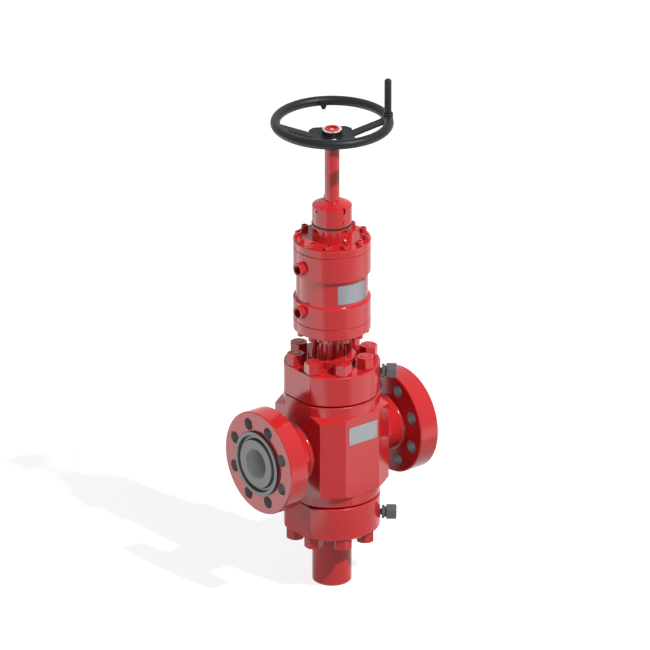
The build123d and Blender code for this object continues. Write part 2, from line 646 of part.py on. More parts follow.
def gate():
    height = GATE_TOP - GATE_BOTTOM
    middle = (GATE_TOP + GATE_BOTTOM) / 2
    slab = Pos(0, 0, middle) * Box(GATE_THICKNESS, GATE_WIDTH, height)
    slab = chamfer(slab.edges().filter_by(Axis.X), GATE_CHAMFER)
    slab -= Rot(0, 90, 0) * hole(BORE_DIAMETER / 2, -GATE_THICKNESS, GATE_THICKNESS)
    slab -= tee_slot(GATE_TOP)
    return slab - [Rot(180, 0, 0) * cut for cut in tee_slot(-GATE_BOTTOM)]


def tee_head(level):
    """Tee head and neck of a stem that hangs in the gate's end at this level."""
    top = level - TEE_LIP
    head = hole(TEE_HEAD_DIAMETER / 2, top - TEE_HEAD_HEIGHT, top)
    head &= Pos(0, 0, top) * Box(GATE_THICKNESS - 2, TEE_HEAD_DIAMETER, 4 * TEE_HEAD_HEIGHT)
    return head + hole(TEE_NECK_DIAMETER / 2, top - PAST, level + TEE_NECK_ROOM + PAST)


def upper_stem():
    """Stem, tail rod and drive screw in one bar, from the gate to inside the override rod."""
    stem = STEM_DIAMETER / 2
    rod = TAIL_ROD_DIAMETER / 2
    screw = DRIVE_SCREW_DIAMETER / 2
    foot = GATE_TOP + TEE_NECK_ROOM
    bar = turned(
        (0, foot), (stem - BOLT_EDGE, foot), (stem, foot + BOLT_EDGE), (stem, PISTON_BOTTOM),
        (rod, PISTON_BOTTOM), (rod, DRIVE_SCREW_BOTTOM), (screw, DRIVE_SCREW_BOTTOM),
        (screw, DRIVE_SCREW_TOP - BOLT_EDGE), (screw - BOLT_EDGE, DRIVE_SCREW_TOP), (0, DRIVE_SCREW_TOP),
    )
    return bar + tee_head(GATE_TOP)


def balance_stem():
    foot = -GATE_BOTTOM + TEE_NECK_ROOM
    bar = disc(STEM_DIAMETER / 2, foot, LOWER_BONNET_BOTTOM + BALANCE_STEM_REACH, BOLT_EDGE)
    return Rot(180, 0, 0) * (bar + tee_head(-GATE_BOTTOM))


# Hydraulic cylinder

def head_screw_holes(bottom, top, radius):
    cut = Pos(HEAD_SCREW_CIRCLE / 2, 0, 0) * hole(radius, bottom, top)
    return around(cut, HEAD_SCREW_COUNT, 180 / HEAD_SCREW_COUNT)


def head_blank(thickness, pilot_height, rod_bore):
    """Cylinder head on Z = 0, with its pilot and seal groove above the flange."""
    pilot = CYLINDER_BORE / 2 - SEAL_CLEARANCE
    blank = disc(CYLINDER_DIAMETER / 2, 0, thickness, PARTING_EDGE)
    blank += disc(pilot, thickness - PAST, thickness + pilot_height, SMALL_EDGE)
    groove = thickness + (pilot_height - PILOT_RING_WIDTH) / 2
    blank -= ring(pilot + PAST, pilot - PILOT_RING_DEPTH, groove, groove + PILOT_RING_WIDTH)
    blank -= hole(rod_bore, -PAST, thickness + pilot_height + PAST)
    return blank - head_screw_holes(-PAST, thickness, HEAD_SCREW_DIAMETER / 2 + BOLT_CLEARANCE)


def pilot_seal(level):
    outer = CYLINDER_BORE / 2 - SEAL_CLEARANCE
    half = PILOT_RING_WIDTH / 2 - SEAL_CLEARANCE
    return ring(outer, outer - PILOT_RING_DEPTH, level - half, level + half)


def rod_seal(rod_diameter, level):
    inner = rod_diameter / 2 + SEAL_CLEARANCE
    outer = ROD_SEAL_DIAMETER / 2 - SEAL_CLEARANCE
    return ring(outer, inner, level + SEAL_CLEARANCE, level + ROD_SEAL_HEIGHT - SEAL_CLEARANCE)


def lower_head():
    head = Pos(0, 0, LOWER_HEAD_BOTTOM) * head_blank(LOWER_HEAD_THICKNESS, LOWER_PILOT_HEIGHT, STEM_BORE)
    head += ring(SPIGOT_DIAMETER / 2, STEM_BORE, SPIGOT_BOTTOM, LOWER_HEAD_BOTTOM + PAST)
    head -= hole(ROD_SEAL_DIAMETER / 2, LOWER_SEAL_LEVEL, LOWER_SEAL_LEVEL + ROD_SEAL_HEIGHT)
    radius = NECK_SCREW_DIAMETER / 2
    cut = hole(radius + BOLT_CLEARANCE, LOWER_HEAD_BOTTOM, LOWER_PILOT_TOP)
    cut += hole(radius + 2 * BOLT_CLEARANCE, SPIGOT_BOTTOM - PAST, LOWER_HEAD_BOTTOM)
    cut += hole(1.5 * radius + BOLT_CLEARANCE, NECK_SCREW_SEAT, LOWER_PILOT_TOP)
    cut = Pos(NECK_SCREW_CIRCLE / 2, 0, 0) * cut
    return head - around(cut, NECK_SCREW_COUNT, 180 / NECK_SCREW_COUNT)


def neck_screws():
    screw = cap_screw(NECK_SCREW_DIAMETER, NECK_SCREW_SEAT - BOSS_TOP + NECK_SCREW_ENGAGEMENT - PAST)
    screw = Pos(NECK_SCREW_CIRCLE / 2, 0, NECK_SCREW_SEAT) * screw
    return around(screw, NECK_SCREW_COUNT, 180 / NECK_SCREW_COUNT)


def upper_head():
    rod_bore = TAIL_ROD_DIAMETER / 2 + RUNNING_CLEARANCE
    head = Rot(180, 0, 0) * head_blank(UPPER_HEAD_THICKNESS, UPPER_PILOT_HEIGHT, rod_bore)
    head = Pos(0, 0, UPPER_HEAD_TOP) * head
    head -= hole(ROD_SEAL_DIAMETER / 2, UPPER_SEAL_LEVEL, UPPER_SEAL_LEVEL + ROD_SEAL_HEIGHT)
    pocket = HOUSING_SPIGOT_DIAMETER / 2 + THREAD_CLEARANCE
    return head - hole(pocket, UPPER_HEAD_TOP - HOUSING_SPIGOT_LENGTH, UPPER_HEAD_TOP + PAST)


def barrel():
    """Tube with a thick band at each end and a turned waist between them."""
    outer = CYLINDER_DIAMETER / 2
    waist = WAIST_DIAMETER / 2
    bore = CYLINDER_BORE / 2
    waist_bottom = BARREL_BOTTOM + LOWER_BAND_LENGTH
    waist_top = BARREL_TOP - UPPER_BAND_LENGTH
    section = make_face(Polyline(
        (bore, BARREL_BOTTOM), (outer - PARTING_EDGE, BARREL_BOTTOM), (outer, BARREL_BOTTOM + PARTING_EDGE),
        (outer, waist_bottom - PARTING_EDGE), (outer - PARTING_EDGE, waist_bottom), (waist, waist_bottom),
        (waist, waist_top), (outer - PARTING_EDGE, waist_top), (outer, waist_top + PARTING_EDGE),
        (outer, BARREL_TOP - PARTING_EDGE), (outer - PARTING_EDGE, BARREL_TOP), (bore, BARREL_TOP),
        close=True,
    ))
    for level in (waist_bottom, waist_top):
        section = fillet(section.vertices().sort_by_distance((waist, level))[0], WAIST_FILLET)
    tube = revolve(Plane.XZ * section, Axis.Z)
    radius = HEAD_SCREW_DIAMETER / 2 + THREAD_CLEARANCE
    tube -= head_screw_holes(BARREL_BOTTOM - PAST, BARREL_BOTTOM + HEAD_SCREW_HOLE_DEPTH, radius)
    tube -= head_screw_holes(BARREL_TOP - HEAD_SCREW_HOLE_DEPTH, BARREL_TOP + PAST, radius)
    for level in (LOWER_PORT, UPPER_PORT):
        seat = hole(PORT_DIAMETER / 2 + THREAD_CLEARANCE, -PORT_SEAT_DEPTH, PORT_SEAT_DEPTH)
        drill = hole(PORT_DRILL / 2, -outer / 2, 0)
        tube -= on_face(180, outer, level) * (seat + drill)
    return tube - [place * plate_screw_hole() for place in barrel_plate_places()]


def hydraulic_ports():
    """Two half couplings seated in the barrel's bands."""
    radius = PORT_DIAMETER / 2
    bore = PORT_BORE / 2
    mouth = PORT_STAND_OUT
    coupling = turned(
        (PORT_DRILL / 2, -PORT_SEAT_DEPTH), (radius, -PORT_SEAT_DEPTH),
        (radius, mouth - SMALL_EDGE), (radius - SMALL_EDGE, mouth),
        (bore, mouth), (bore, mouth - PORT_BORE_DEPTH), (PORT_DRILL / 2, mouth - PORT_BORE_DEPTH),
    )
    return [on_face(180, CYLINDER_DIAMETER / 2, level) * coupling for level in (LOWER_PORT, UPPER_PORT)]


def head_screws(seat, thickness, turn):
    screw = turn * cap_screw(HEAD_SCREW_DIAMETER, thickness + HEAD_SCREW_ENGAGEMENT)
    screw = Pos(HEAD_SCREW_CIRCLE / 2, 0, seat) * screw
    return around(screw, HEAD_SCREW_COUNT, 180 / HEAD_SCREW_COUNT)


def piston():
    land = CYLINDER_BORE / 2 - RUNNING_CLEARANCE
    hub = PISTON_HUB_DIAMETER / 2
    bore = TAIL_ROD_DIAMETER / 2 + THREAD_CLEARANCE
    body = turned(
        (bore, PISTON_BOTTOM), (hub, PISTON_BOTTOM), (hub, LAND_BOTTOM), (land - SMALL_EDGE, LAND_BOTTOM),
        (land, LAND_BOTTOM + SMALL_EDGE), (land, LAND_TOP - SMALL_EDGE), (land - SMALL_EDGE, LAND_TOP),
        (hub, LAND_TOP), (hub, PISTON_TOP), (bore, PISTON_TOP),
    )
    body -= hole(PISTON_NUT_POCKET / 2, PISTON_TOP - PISTON_NUT_HEIGHT, PISTON_TOP + PAST)
    middle = (LAND_BOTTOM + LAND_TOP) / 2
    half = PISTON_SEAL_WIDTH / 2
    return body - ring(land + PAST, land - PISTON_SEAL_DEPTH, middle - half, middle + half)


def piston_seal():
    outer = CYLINDER_BORE / 2 - SEAL_CLEARANCE
    inner = CYLINDER_BORE / 2 - RUNNING_CLEARANCE - PISTON_SEAL_DEPTH
    middle = (LAND_BOTTOM + LAND_TOP) / 2
    half = PISTON_SEAL_WIDTH / 2 - SEAL_CLEARANCE
    return ring(outer, inner, middle - half, middle + half)


def piston_nut():
    nut = hexagon(PISTON_NUT_FLATS, PISTON_NUT_HEIGHT)
    nut -= hole(TAIL_ROD_DIAMETER / 2 + THREAD_CLEARANCE, -PAST, PISTON_NUT_HEIGHT + PAST)
    return Pos(0, 0, PISTON_TOP - PISTON_NUT_HEIGHT) * nut


# Manual override

def override_housing():
    """Base and threaded neck that hold the rod's lower thrust bearing, screwed into the upper head."""
    base = HOUSING_DIAMETER / 2
    spigot = HOUSING_SPIGOT_DIAMETER / 2
    neck = HOUSING_NECK_DIAMETER / 2
    skirt = ROD_SKIRT_DIAMETER / 2 + RUNNING_CLEARANCE
    rod = TAIL_ROD_DIAMETER / 2 + RUNNING_CLEARANCE
    bearing = THRUST_BEARING_DIAMETER / 2 + SEAL_CLEARANCE
    spigot_end = UPPER_HEAD_TOP - HOUSING_SPIGOT_LENGTH
    neck_top = LOCK_RING_BOTTOM + HOUSING_NECK_HEIGHT
    housing = turned(
        (rod, spigot_end), (spigot, spigot_end), (spigot, UPPER_HEAD_TOP), (base, UPPER_HEAD_TOP),
        (base, LOCK_RING_BOTTOM - SMALL_EDGE), (base - SMALL_EDGE, LOCK_RING_BOTTOM),
        (neck, LOCK_RING_BOTTOM), (neck, neck_top), (bearing, neck_top), (bearing, LOCK_RING_TOP),
        (skirt, LOCK_RING_TOP), (skirt, UPPER_HEAD_TOP), (rod, UPPER_HEAD_TOP),
    )
    return housing - housing_nipple_place() * nipple_cut()


def lock_ring():
    outer = HOUSING_DIAMETER / 2
    body = ring(outer, HOUSING_NECK_DIAMETER / 2 + THREAD_CLEARANCE, LOCK_RING_BOTTOM, LOCK_RING_TOP)
    slot = Pos(outer, 0, LOCK_RING_BOTTOM + LOCK_RING_SLOT_HEIGHT / 2) * Box(
        2 * LOCK_RING_SLOT_DEPTH, LOCK_RING_SLOT_WIDTH, LOCK_RING_SLOT_HEIGHT,
    )
    return body - around(slot, 4)


def cap_seal_ring():
    inner = HOUSING_NECK_DIAMETER / 2 + THREAD_CLEARANCE
    return ring(SEAL_RING_DIAMETER / 2, inner, LOCK_RING_TOP, CAP_BOTTOM)


def override_cap():
    """Screwed cap over the thrust bearings, with a coned top round the rod."""
    outer = CAP_DIAMETER / 2
    neck = HOUSING_NECK_DIAMETER / 2 + THREAD_CLEARANCE
    bearing = THRUST_BEARING_DIAMETER / 2 + SEAL_CLEARANCE
    rod = ROD_DIAMETER / 2 + RUNNING_CLEARANCE
    neck_end = LOCK_RING_BOTTOM + HOUSING_NECK_HEIGHT + RUNNING_CLEARANCE
    cap = turned(
        (neck, CAP_BOTTOM), (outer, CAP_BOTTOM), (outer, CAP_RIM - CAP_EDGE), (outer - CAP_EDGE, CAP_RIM),
        (CAP_CONE_TOP_DIAMETER / 2, CAP_TOP), (rod, CAP_TOP), (rod, CAP_CEILING), (bearing, CAP_CEILING),
        (bearing, neck_end), (neck, neck_end),
    )
    cap -= hole(WIPER_DIAMETER / 2, WIPER_BOTTOM, WIPER_BOTTOM + WIPER_HEIGHT)
    spanner_hole = hole(CAP_SPANNER_WIDTH / 2, -CAP_SPANNER_WIDTH, PAST)
    cap -= [on_face(angle, outer, CAP_RIM - CAP_SPANNER_HOLE_DROP) * spanner_hole for angle in (0, 180)]
    spanner_slot = Box(2 * CAP_SPANNER_WIDTH, CAP_SPANNER_WIDTH, 2 * CAP_SPANNER_SLOT_HEIGHT)
    cap -= around(Pos(outer, 0, CAP_RIM) * spanner_slot, 2, 90)
    radius = CAP_SET_SCREW_DIAMETER / 2 + THREAD_CLEARANCE
    cap -= set_screw_place() * hole(radius, neck - outer - PAST, PAST)
    return cap - cap_nipple_place() * nipple_cut()


def rod_wiper():
    inner = ROD_DIAMETER / 2 + SEAL_CLEARANCE
    outer = WIPER_DIAMETER / 2 - SEAL_CLEARANCE
    return ring(outer, inner, WIPER_BOTTOM + SEAL_CLEARANCE, WIPER_BOTTOM + WIPER_HEIGHT - SEAL_CLEARANCE)


def set_screw_place():
    return on_face(-90, CAP_DIAMETER / 2, CAP_BOTTOM + CAP_SET_SCREW_RISE)


def cap_set_screw():
    inner_end = RUNNING_CLEARANCE - (CAP_DIAMETER - HOUSING_NECK_DIAMETER) / 2
    return set_screw_place() * disc(CAP_SET_SCREW_DIAMETER / 2, inner_end, CAP_SET_SCREW_STAND_OUT)


def cap_nipple_place():
    radius = (CAP_DIAMETER + 2 * CAP_CONE_TOP_DIAMETER) / 6
    slope = CAP_CONE_HEIGHT / (CAP_DIAMETER / 2 - CAP_EDGE - CAP_CONE_TOP_DIAMETER / 2)
    level = CAP_TOP - slope * (radius - CAP_CONE_TOP_DIAMETER / 2)
    return Rot(0, 0, 90) * Pos(radius, 0, level)


def housing_nipple_place():
    return on_face(-90, HOUSING_DIAMETER / 2, UPPER_HEAD_TOP + HOUSING_BASE_HEIGHT / 3)


def nipple_cut():
    """Tapped hole and spotface for a nipple."""
    tapped = hole(NIPPLE_DIAMETER / 4, -NIPPLE_SHANK_LENGTH - SHARP_EDGE, PAST)
    return tapped + hole(NIPPLE_DIAMETER / 2 + BOLT_CLEARANCE, 0, NIPPLE_LENGTH)


def grease_nipples():
    """Nipples of the cap and the housing: threaded shank, round base, narrow neck and ball end."""
    base = NIPPLE_DIAMETER / 2
    neck = base / 2 - THREAD_CLEARANCE
    nipple = turned(
        (0, -NIPPLE_SHANK_LENGTH), (neck, -NIPPLE_SHANK_LENGTH), (neck, 0), (base, 0),
        (base, 0.45 * NIPPLE_LENGTH), (neck, 0.55 * NIPPLE_LENGTH), (0.75 * base, 0.8 * NIPPLE_LENGTH),
        (neck, NIPPLE_LENGTH), (0, NIPPLE_LENGTH),
    )
    return [cap_nipple_place() * nipple, housing_nipple_place() * nipple]


def thrust_ring(bottom, height, gap=0.0):
    return ring(THRUST_BEARING_DIAMETER / 2, THRUST_BEARING_BORE / 2, bottom + gap, bottom + height - gap)


def thrust_washers():
    """Washers that stay with the housing and the cap."""
    return [
        thrust_ring(LOCK_RING_TOP, THRUST_WASHER_HEIGHT),
        thrust_ring(CAP_CEILING - THRUST_WASHER_HEIGHT, THRUST_WASHER_HEIGHT),
    ]


def thrust_cages():
    return [
        thrust_ring(LOCK_RING_TOP + THRUST_WASHER_HEIGHT, THRUST_CAGE_HEIGHT, BEARING_CLEARANCE),
        thrust_ring(COLLAR_TOP + THRUST_WASHER_HEIGHT, THRUST_CAGE_HEIGHT, BEARING_CLEARANCE),
    ]


def collar_washers():
    """Washers that turn with the rod's collar."""
    return [
        thrust_ring(COLLAR_BOTTOM - THRUST_WASHER_HEIGHT, THRUST_WASHER_HEIGHT),
        thrust_ring(COLLAR_TOP, THRUST_WASHER_HEIGHT),
    ]


def override_rod():
    """Hollow rod that turns with the handwheel: drive nut thread inside, thrust collar outside."""
    rod = ROD_DIAMETER / 2
    skirt = ROD_SKIRT_DIAMETER / 2
    collar = ROD_COLLAR_DIAMETER / 2
    entry = TAIL_ROD_DIAMETER / 2 + RUNNING_CLEARANCE
    thread = DRIVE_SCREW_DIAMETER / 2 + SEAL_CLEARANCE
    relief = DRIVE_SCREW_DIAMETER / 2 + 2 * RUNNING_CLEARANCE
    hole_end = DRIVE_SCREW_TOP + DRIVE_SCREW_ROOM
    shoulder = CAP_CEILING - RUNNING_CLEARANCE
    bar = turned(
        (entry, ROD_BOTTOM), (skirt, ROD_BOTTOM), (skirt, COLLAR_BOTTOM), (collar, COLLAR_BOTTOM),
        (collar, COLLAR_TOP), (skirt, COLLAR_TOP), (skirt, shoulder), (rod, shoulder),
        (rod, ROD_TOP - BOLT_EDGE), (rod - BOLT_EDGE, ROD_TOP), (ROD_CENTRE, ROD_TOP),
        (0, ROD_TOP - ROD_CENTRE), (0, hole_end), (relief, hole_end), (relief, DRIVE_NUT_TOP),
        (thread, DRIVE_NUT_TOP), (thread, DRIVE_NUT_BOTTOM), (entry, DRIVE_NUT_BOTTOM),
    )
    bar -= ring(rod + PAST, rod - RETAINING_GROOVE_DEPTH, HUB_TOP, HUB_TOP + RETAINING_RING_HEIGHT)
    return bar - key_block(0)


# Handwheel

def key_block(clearance):
    """Parallel key between rod and wheel hub, half in each."""
    width = KEY_SIZE + 2 * clearance
    block = Box(width, width, KEY_LENGTH + 2 * clearance)
    middle = HUB_BOTTOM + (WHEEL_HUB_HEIGHT + WHEEL_PLATE_THICKNESS) / 2
    return Rot(0, 0, WHEEL_PLATE_ANGLE) * Pos(ROD_DIAMETER / 2, 0, middle) * block


def wheel_hub():
    outer = WHEEL_HUB_DIAMETER / 2
    neck = WHEEL_NECK_DIAMETER / 2
    bore = ROD_DIAMETER / 2 + THREAD_CLEARANCE
    hub = turned(
        (bore, HUB_BOTTOM), (outer - WHEEL_HUB_CHAMFER, HUB_BOTTOM),
        (outer, HUB_BOTTOM + WHEEL_HUB_CHAMFER), (outer, PLATE_BOTTOM), (neck, PLATE_BOTTOM),
        (neck, HUB_TOP), (bore, HUB_TOP),
    )
    return hub - key_block(THREAD_CLEARANCE)


def spoke():
    """Arm of the spider along X, flat in the plate and then rising to the rim."""
    start = WHEEL_PLATE_WIDTH / 3
    bend = WHEEL_PLATE_WIDTH / 2
    end = RIM_RADIUS
    section = make_face(Polyline(
        (start, PLATE_BOTTOM), (bend, PLATE_BOTTOM), (end, PLATE_BOTTOM + SPOKE_RISE),
        (end, PLATE_TOP + SPOKE_RISE), (bend, PLATE_TOP), (start, PLATE_TOP),
        close=True,
    ))
    bends = section.vertices().sort_by_distance((bend, WHEEL_PLATE_HEIGHT))[:2]
    section = fillet(bends, WHEEL_PLATE_WIDTH / 3)
    return extrude(Plane.XZ * section, SPOKE_WIDTH / 2, both=True)


def wheel_spider():
    """Hub plate with three dished arms, trimmed where they meet the rim."""
    plate = extrude(Rectangle(WHEEL_PLATE_WIDTH, WHEEL_PLATE_LENGTH), WHEEL_PLATE_THICKNESS)
    plate = chamfer(plate.edges().filter_by(Axis.Z), WHEEL_PLATE_CORNER)
    spider = Rot(0, 0, WHEEL_PLATE_ANGLE) * Pos(0, 0, PLATE_BOTTOM) * plate
    for angle in SPOKE_ANGLES:
        spider += Rot(0, 0, angle) * spoke()
    spider -= Pos(0, 0, RIM_HEIGHT) * Torus(RIM_RADIUS, RIM_SECTION / 2)
    spider &= hole(RIM_RADIUS, PLATE_BOTTOM - PAST, RIM_TOP)
    spider -= hole(WHEEL_NECK_DIAMETER / 2 + THREAD_CLEARANCE, PLATE_BOTTOM - PAST, PLATE_TOP + PAST)
    lock_hole = hole(WHEEL_PLATE_HOLE / 2, PLATE_BOTTOM - PAST, PLATE_TOP + PAST)
    return spider - Rot(0, 0, WHEEL_PLATE_ANGLE) * Pos(WHEEL_PLATE_HOLE_RADIUS, 0, 0) * lock_hole


def handle_place():
    return Rot(0, 0, HANDLE_ANGLE) * Pos(RIM_RADIUS, 0, 0)


def rim_arc(start, end):
    """Round bar of the rim from one angle to the other."""
    section = Plane.XZ * Pos(RIM_RADIUS, RIM_HEIGHT) * Circle(RIM_SECTION / 2)
    return Rot(0, 0, start) * revolve(section, Axis.Z, end - start)


def wheel_rim():
    """Round rim with a boss for the handle and a small lug on its inner side."""
    boss = disc(HANDLE_BOSS_DIAMETER / 2, RIM_HEIGHT - RIM_SECTION / 8, HANDLE_BOTTOM, BOLT_EDGE)
    spindle_hole = hole(SPINDLE_DIAMETER / 2 + THREAD_CLEARANCE, RIM_HEIGHT - RIM_SECTION, HANDLE_TOP)
    boss_arc = rim_arc(HANDLE_ANGLE - RIM_ARC, HANDLE_ANGLE + RIM_ARC)
    boss_arc += handle_place() * boss
    boss_arc -= handle_place() * spindle_hole
    lug_top = RIM_HEIGHT + RIM_SECTION / 4
    lug_tip = lug_top - RIM_LUG_DEPTH
    outline = Polyline(
        (-RIM_LUG_WIDTH / 2, lug_top), (RIM_LUG_WIDTH / 2, lug_top),
        (RIM_LUG_WIDTH / 6, lug_tip), (-RIM_LUG_WIDTH / 6, lug_tip),
        close=True,
    )
    inner = RIM_RADIUS - RIM_SECTION / 2 - RIM_LUG_THICKNESS
    lug = Pos(inner, 0, 0) * extrude(Plane.YZ * make_face(outline), RIM_LUG_THICKNESS + RIM_SECTION / 3)
    lug_arc = rim_arc(RIM_LUG_ANGLE - RIM_ARC, RIM_LUG_ANGLE + RIM_ARC)
    lug_arc += Rot(0, 0, RIM_LUG_ANGLE) * lug
    rim = boss_arc + lug_arc + rim_arc(HANDLE_ANGLE + RIM_ARC, RIM_LUG_ANGLE - RIM_ARC)
    return rim + rim_arc(RIM_LUG_ANGLE + RIM_ARC, 360 + HANDLE_ANGLE - RIM_ARC)


def retaining_ring():
    """Flat ring in the rod's groove, on top of the wheel's hub."""
    inner = ROD_DIAMETER / 2 - RETAINING_GROOVE_DEPTH + THREAD_CLEARANCE
    top = HUB_TOP + RETAINING_RING_HEIGHT - THREAD_CLEARANCE
    return disc(WHEEL_NECK_DIAMETER / 2, HUB_TOP, top, SHARP_EDGE) - hole(inner, HUB_TOP - PAST, top + PAST)


def handle_spindle():
    """Bolt that the grip turns on, with its nut end under the rim."""
    nut_bottom = RIM_HEIGHT - RIM_SECTION / 2 - SPINDLE_NUT_HEIGHT
    top = HANDLE_TOP - HANDLE_END_WALL - RUNNING_CLEARANCE
    bolt = disc(SPINDLE_DIAMETER / 2, nut_bottom - BOLT_EDGE, top, SMALL_EDGE)
    nut = Pos(0, 0, nut_bottom) * hexagon(SPINDLE_NUT_FLATS, SPINDLE_NUT_HEIGHT)
    return handle_place() * (bolt + nut)


def handle_grip():
    """Revolving sleeve with a domed end."""
    radius = HANDLE_DIAMETER / 2
    bore = SPINDLE_DIAMETER / 2 + RUNNING_CLEARANCE
    bottom = HANDLE_BOTTOM + RUNNING_CLEARANCE
    section = make_face(Polyline(
        (bore, bottom), (radius - SMALL_EDGE, bottom), (radius, bottom + SMALL_EDGE), (radius, HANDLE_TOP),
        (0, HANDLE_TOP), (0, HANDLE_TOP - HANDLE_END_WALL), (bore, HANDLE_TOP - HANDLE_END_WALL),
        close=True,
    ))
    section = fillet(section.vertices().sort_by_distance((radius, HANDLE_TOP))[0], 0.8 * radius)
    return handle_place() * revolve(Plane.XZ * section, Axis.Z)


# Grease fittings

def fitting_places():
    face = BONNET_DIAMETER / 2 - FITTING_SPOTFACE_DEPTH
    heights = (BONNET_FACE + UPPER_FITTING_RISE, -BONNET_FACE - LOWER_FITTING_DROP)
    return [on_face(FITTING_ANGLE, face, height) for height in heights]


def grease_fittings():
    """Shank, neck, hexagon flange and threaded end of each fitting."""
    shank = FITTING_SHANK_DIAMETER / 2
    flange_end = FITTING_NECK_LENGTH + FITTING_FLANGE_LENGTH
    end = flange_end + FITTING_CAP_GAP + FITTING_THREAD_LENGTH
    body = disc(shank, SMALL_EDGE - FITTING_SHANK_DEPTH, flange_end, SMALL_EDGE)
    body += Pos(0, 0, FITTING_NECK_LENGTH) * hexagon(FITTING_FLANGE_FLATS, FITTING_FLANGE_LENGTH)
    body += disc(FITTING_THREAD_DIAMETER / 2, flange_end - PAST, end, SMALL_EDGE)
    return [place * body for place in fitting_places()]


def grease_caps():
    seat = FITTING_NECK_LENGTH + FITTING_FLANGE_LENGTH + FITTING_CAP_GAP
    cap = hexagon(FITTING_CAP_FLATS, FITTING_CAP_LENGTH)
    thread = FITTING_THREAD_DIAMETER / 2 + THREAD_CLEARANCE
    cap -= hole(thread, -PAST, FITTING_THREAD_LENGTH + THREAD_CLEARANCE)
    return [place * Pos(0, 0, seat) * cap for place in fitting_places()]


# Plates

def plate_screw_hole():
    return hole(PLATE_SCREW_SHANK / 2 + THREAD_CLEARANCE, -PLATE_SCREW_DEPTH - PAST, 2 * PLATE_THICKNESS)


def plate_screw():
    top = PLATE_THICKNESS + PLATE_SCREW_HEAD_HEIGHT
    screw = disc(PLATE_SCREW_SHANK / 2, -PLATE_SCREW_DEPTH, top)
    return screw + disc(PLATE_SCREW_HEAD / 2, PLATE_THICKNESS, top)


def body_plate_places():
    """Screw places of the body plate, with Z out of the front face."""
    along = BODY_PLATE_LENGTH / 2 - PLATE_SCREW_INSET
    up = BODY_PLATE_HEIGHT / 2 - PLATE_SCREW_INSET
    front = Pos(BODY_PLATE_SHIFT, -BODY_HALF_DEPTH, BODY_PLATE_RISE) * Rot(90, 0, 0)
    return [front * Pos(x, y, 0) for x in (-along, along) for y in (-up, up)]


def barrel_plate_places():
    """Screw places of the barrel plate, with Z out of the waist."""
    across = BARREL_PLATE_WIDTH / 2 - PLATE_SCREW_INSET
    up = BARREL_PLATE_HEIGHT / 2 - PLATE_SCREW_INSET
    back = WAIST_DIAMETER / 2 + CURVED_PLATE_CLEARANCE
    swing = degrees(asin(across / back))
    middle = BARREL_BOTTOM + BARREL_PLATE_RISE
    corners = [(turn, rise) for turn in (-swing, swing) for rise in (-up, up)]
    return [on_face(-90 + turn, back, middle + rise) for turn, rise in corners]


def body_plate():
    plate = extrude(RectangleRounded(BODY_PLATE_LENGTH, BODY_PLATE_HEIGHT, PLATE_CORNER), PLATE_THICKNESS)
    plate = Pos(BODY_PLATE_SHIFT, -BODY_HALF_DEPTH, BODY_PLATE_RISE) * Rot(90, 0, 0) * plate
    return plate - [place * plate_screw_hole() for place in body_plate_places()]


def barrel_plate():
    back = WAIST_DIAMETER / 2 + CURVED_PLATE_CLEARANCE
    middle = BARREL_BOTTOM + BARREL_PLATE_RISE
    half = BARREL_PLATE_HEIGHT / 2
    sheet = ring(back + PLATE_THICKNESS, back, middle - half - PAST, middle + half + PAST)
    outline = RectangleRounded(BARREL_PLATE_WIDTH, BARREL_PLATE_HEIGHT, PLATE_CORNER)
    sheet &= Pos(0, 0, middle) * Rot(90, 0, 0) * extrude(outline, CYLINDER_DIAMETER)
    return sheet - [place * plate_screw_hole() for place in barrel_plate_places()]


def plate_screws():
    return [place * plate_screw() for place in body_plate_places() + barrel_plate_places()]


UPRIGHT = Rot(0, 0, 0)
FLIPPED = Rot(180, 0, 0)

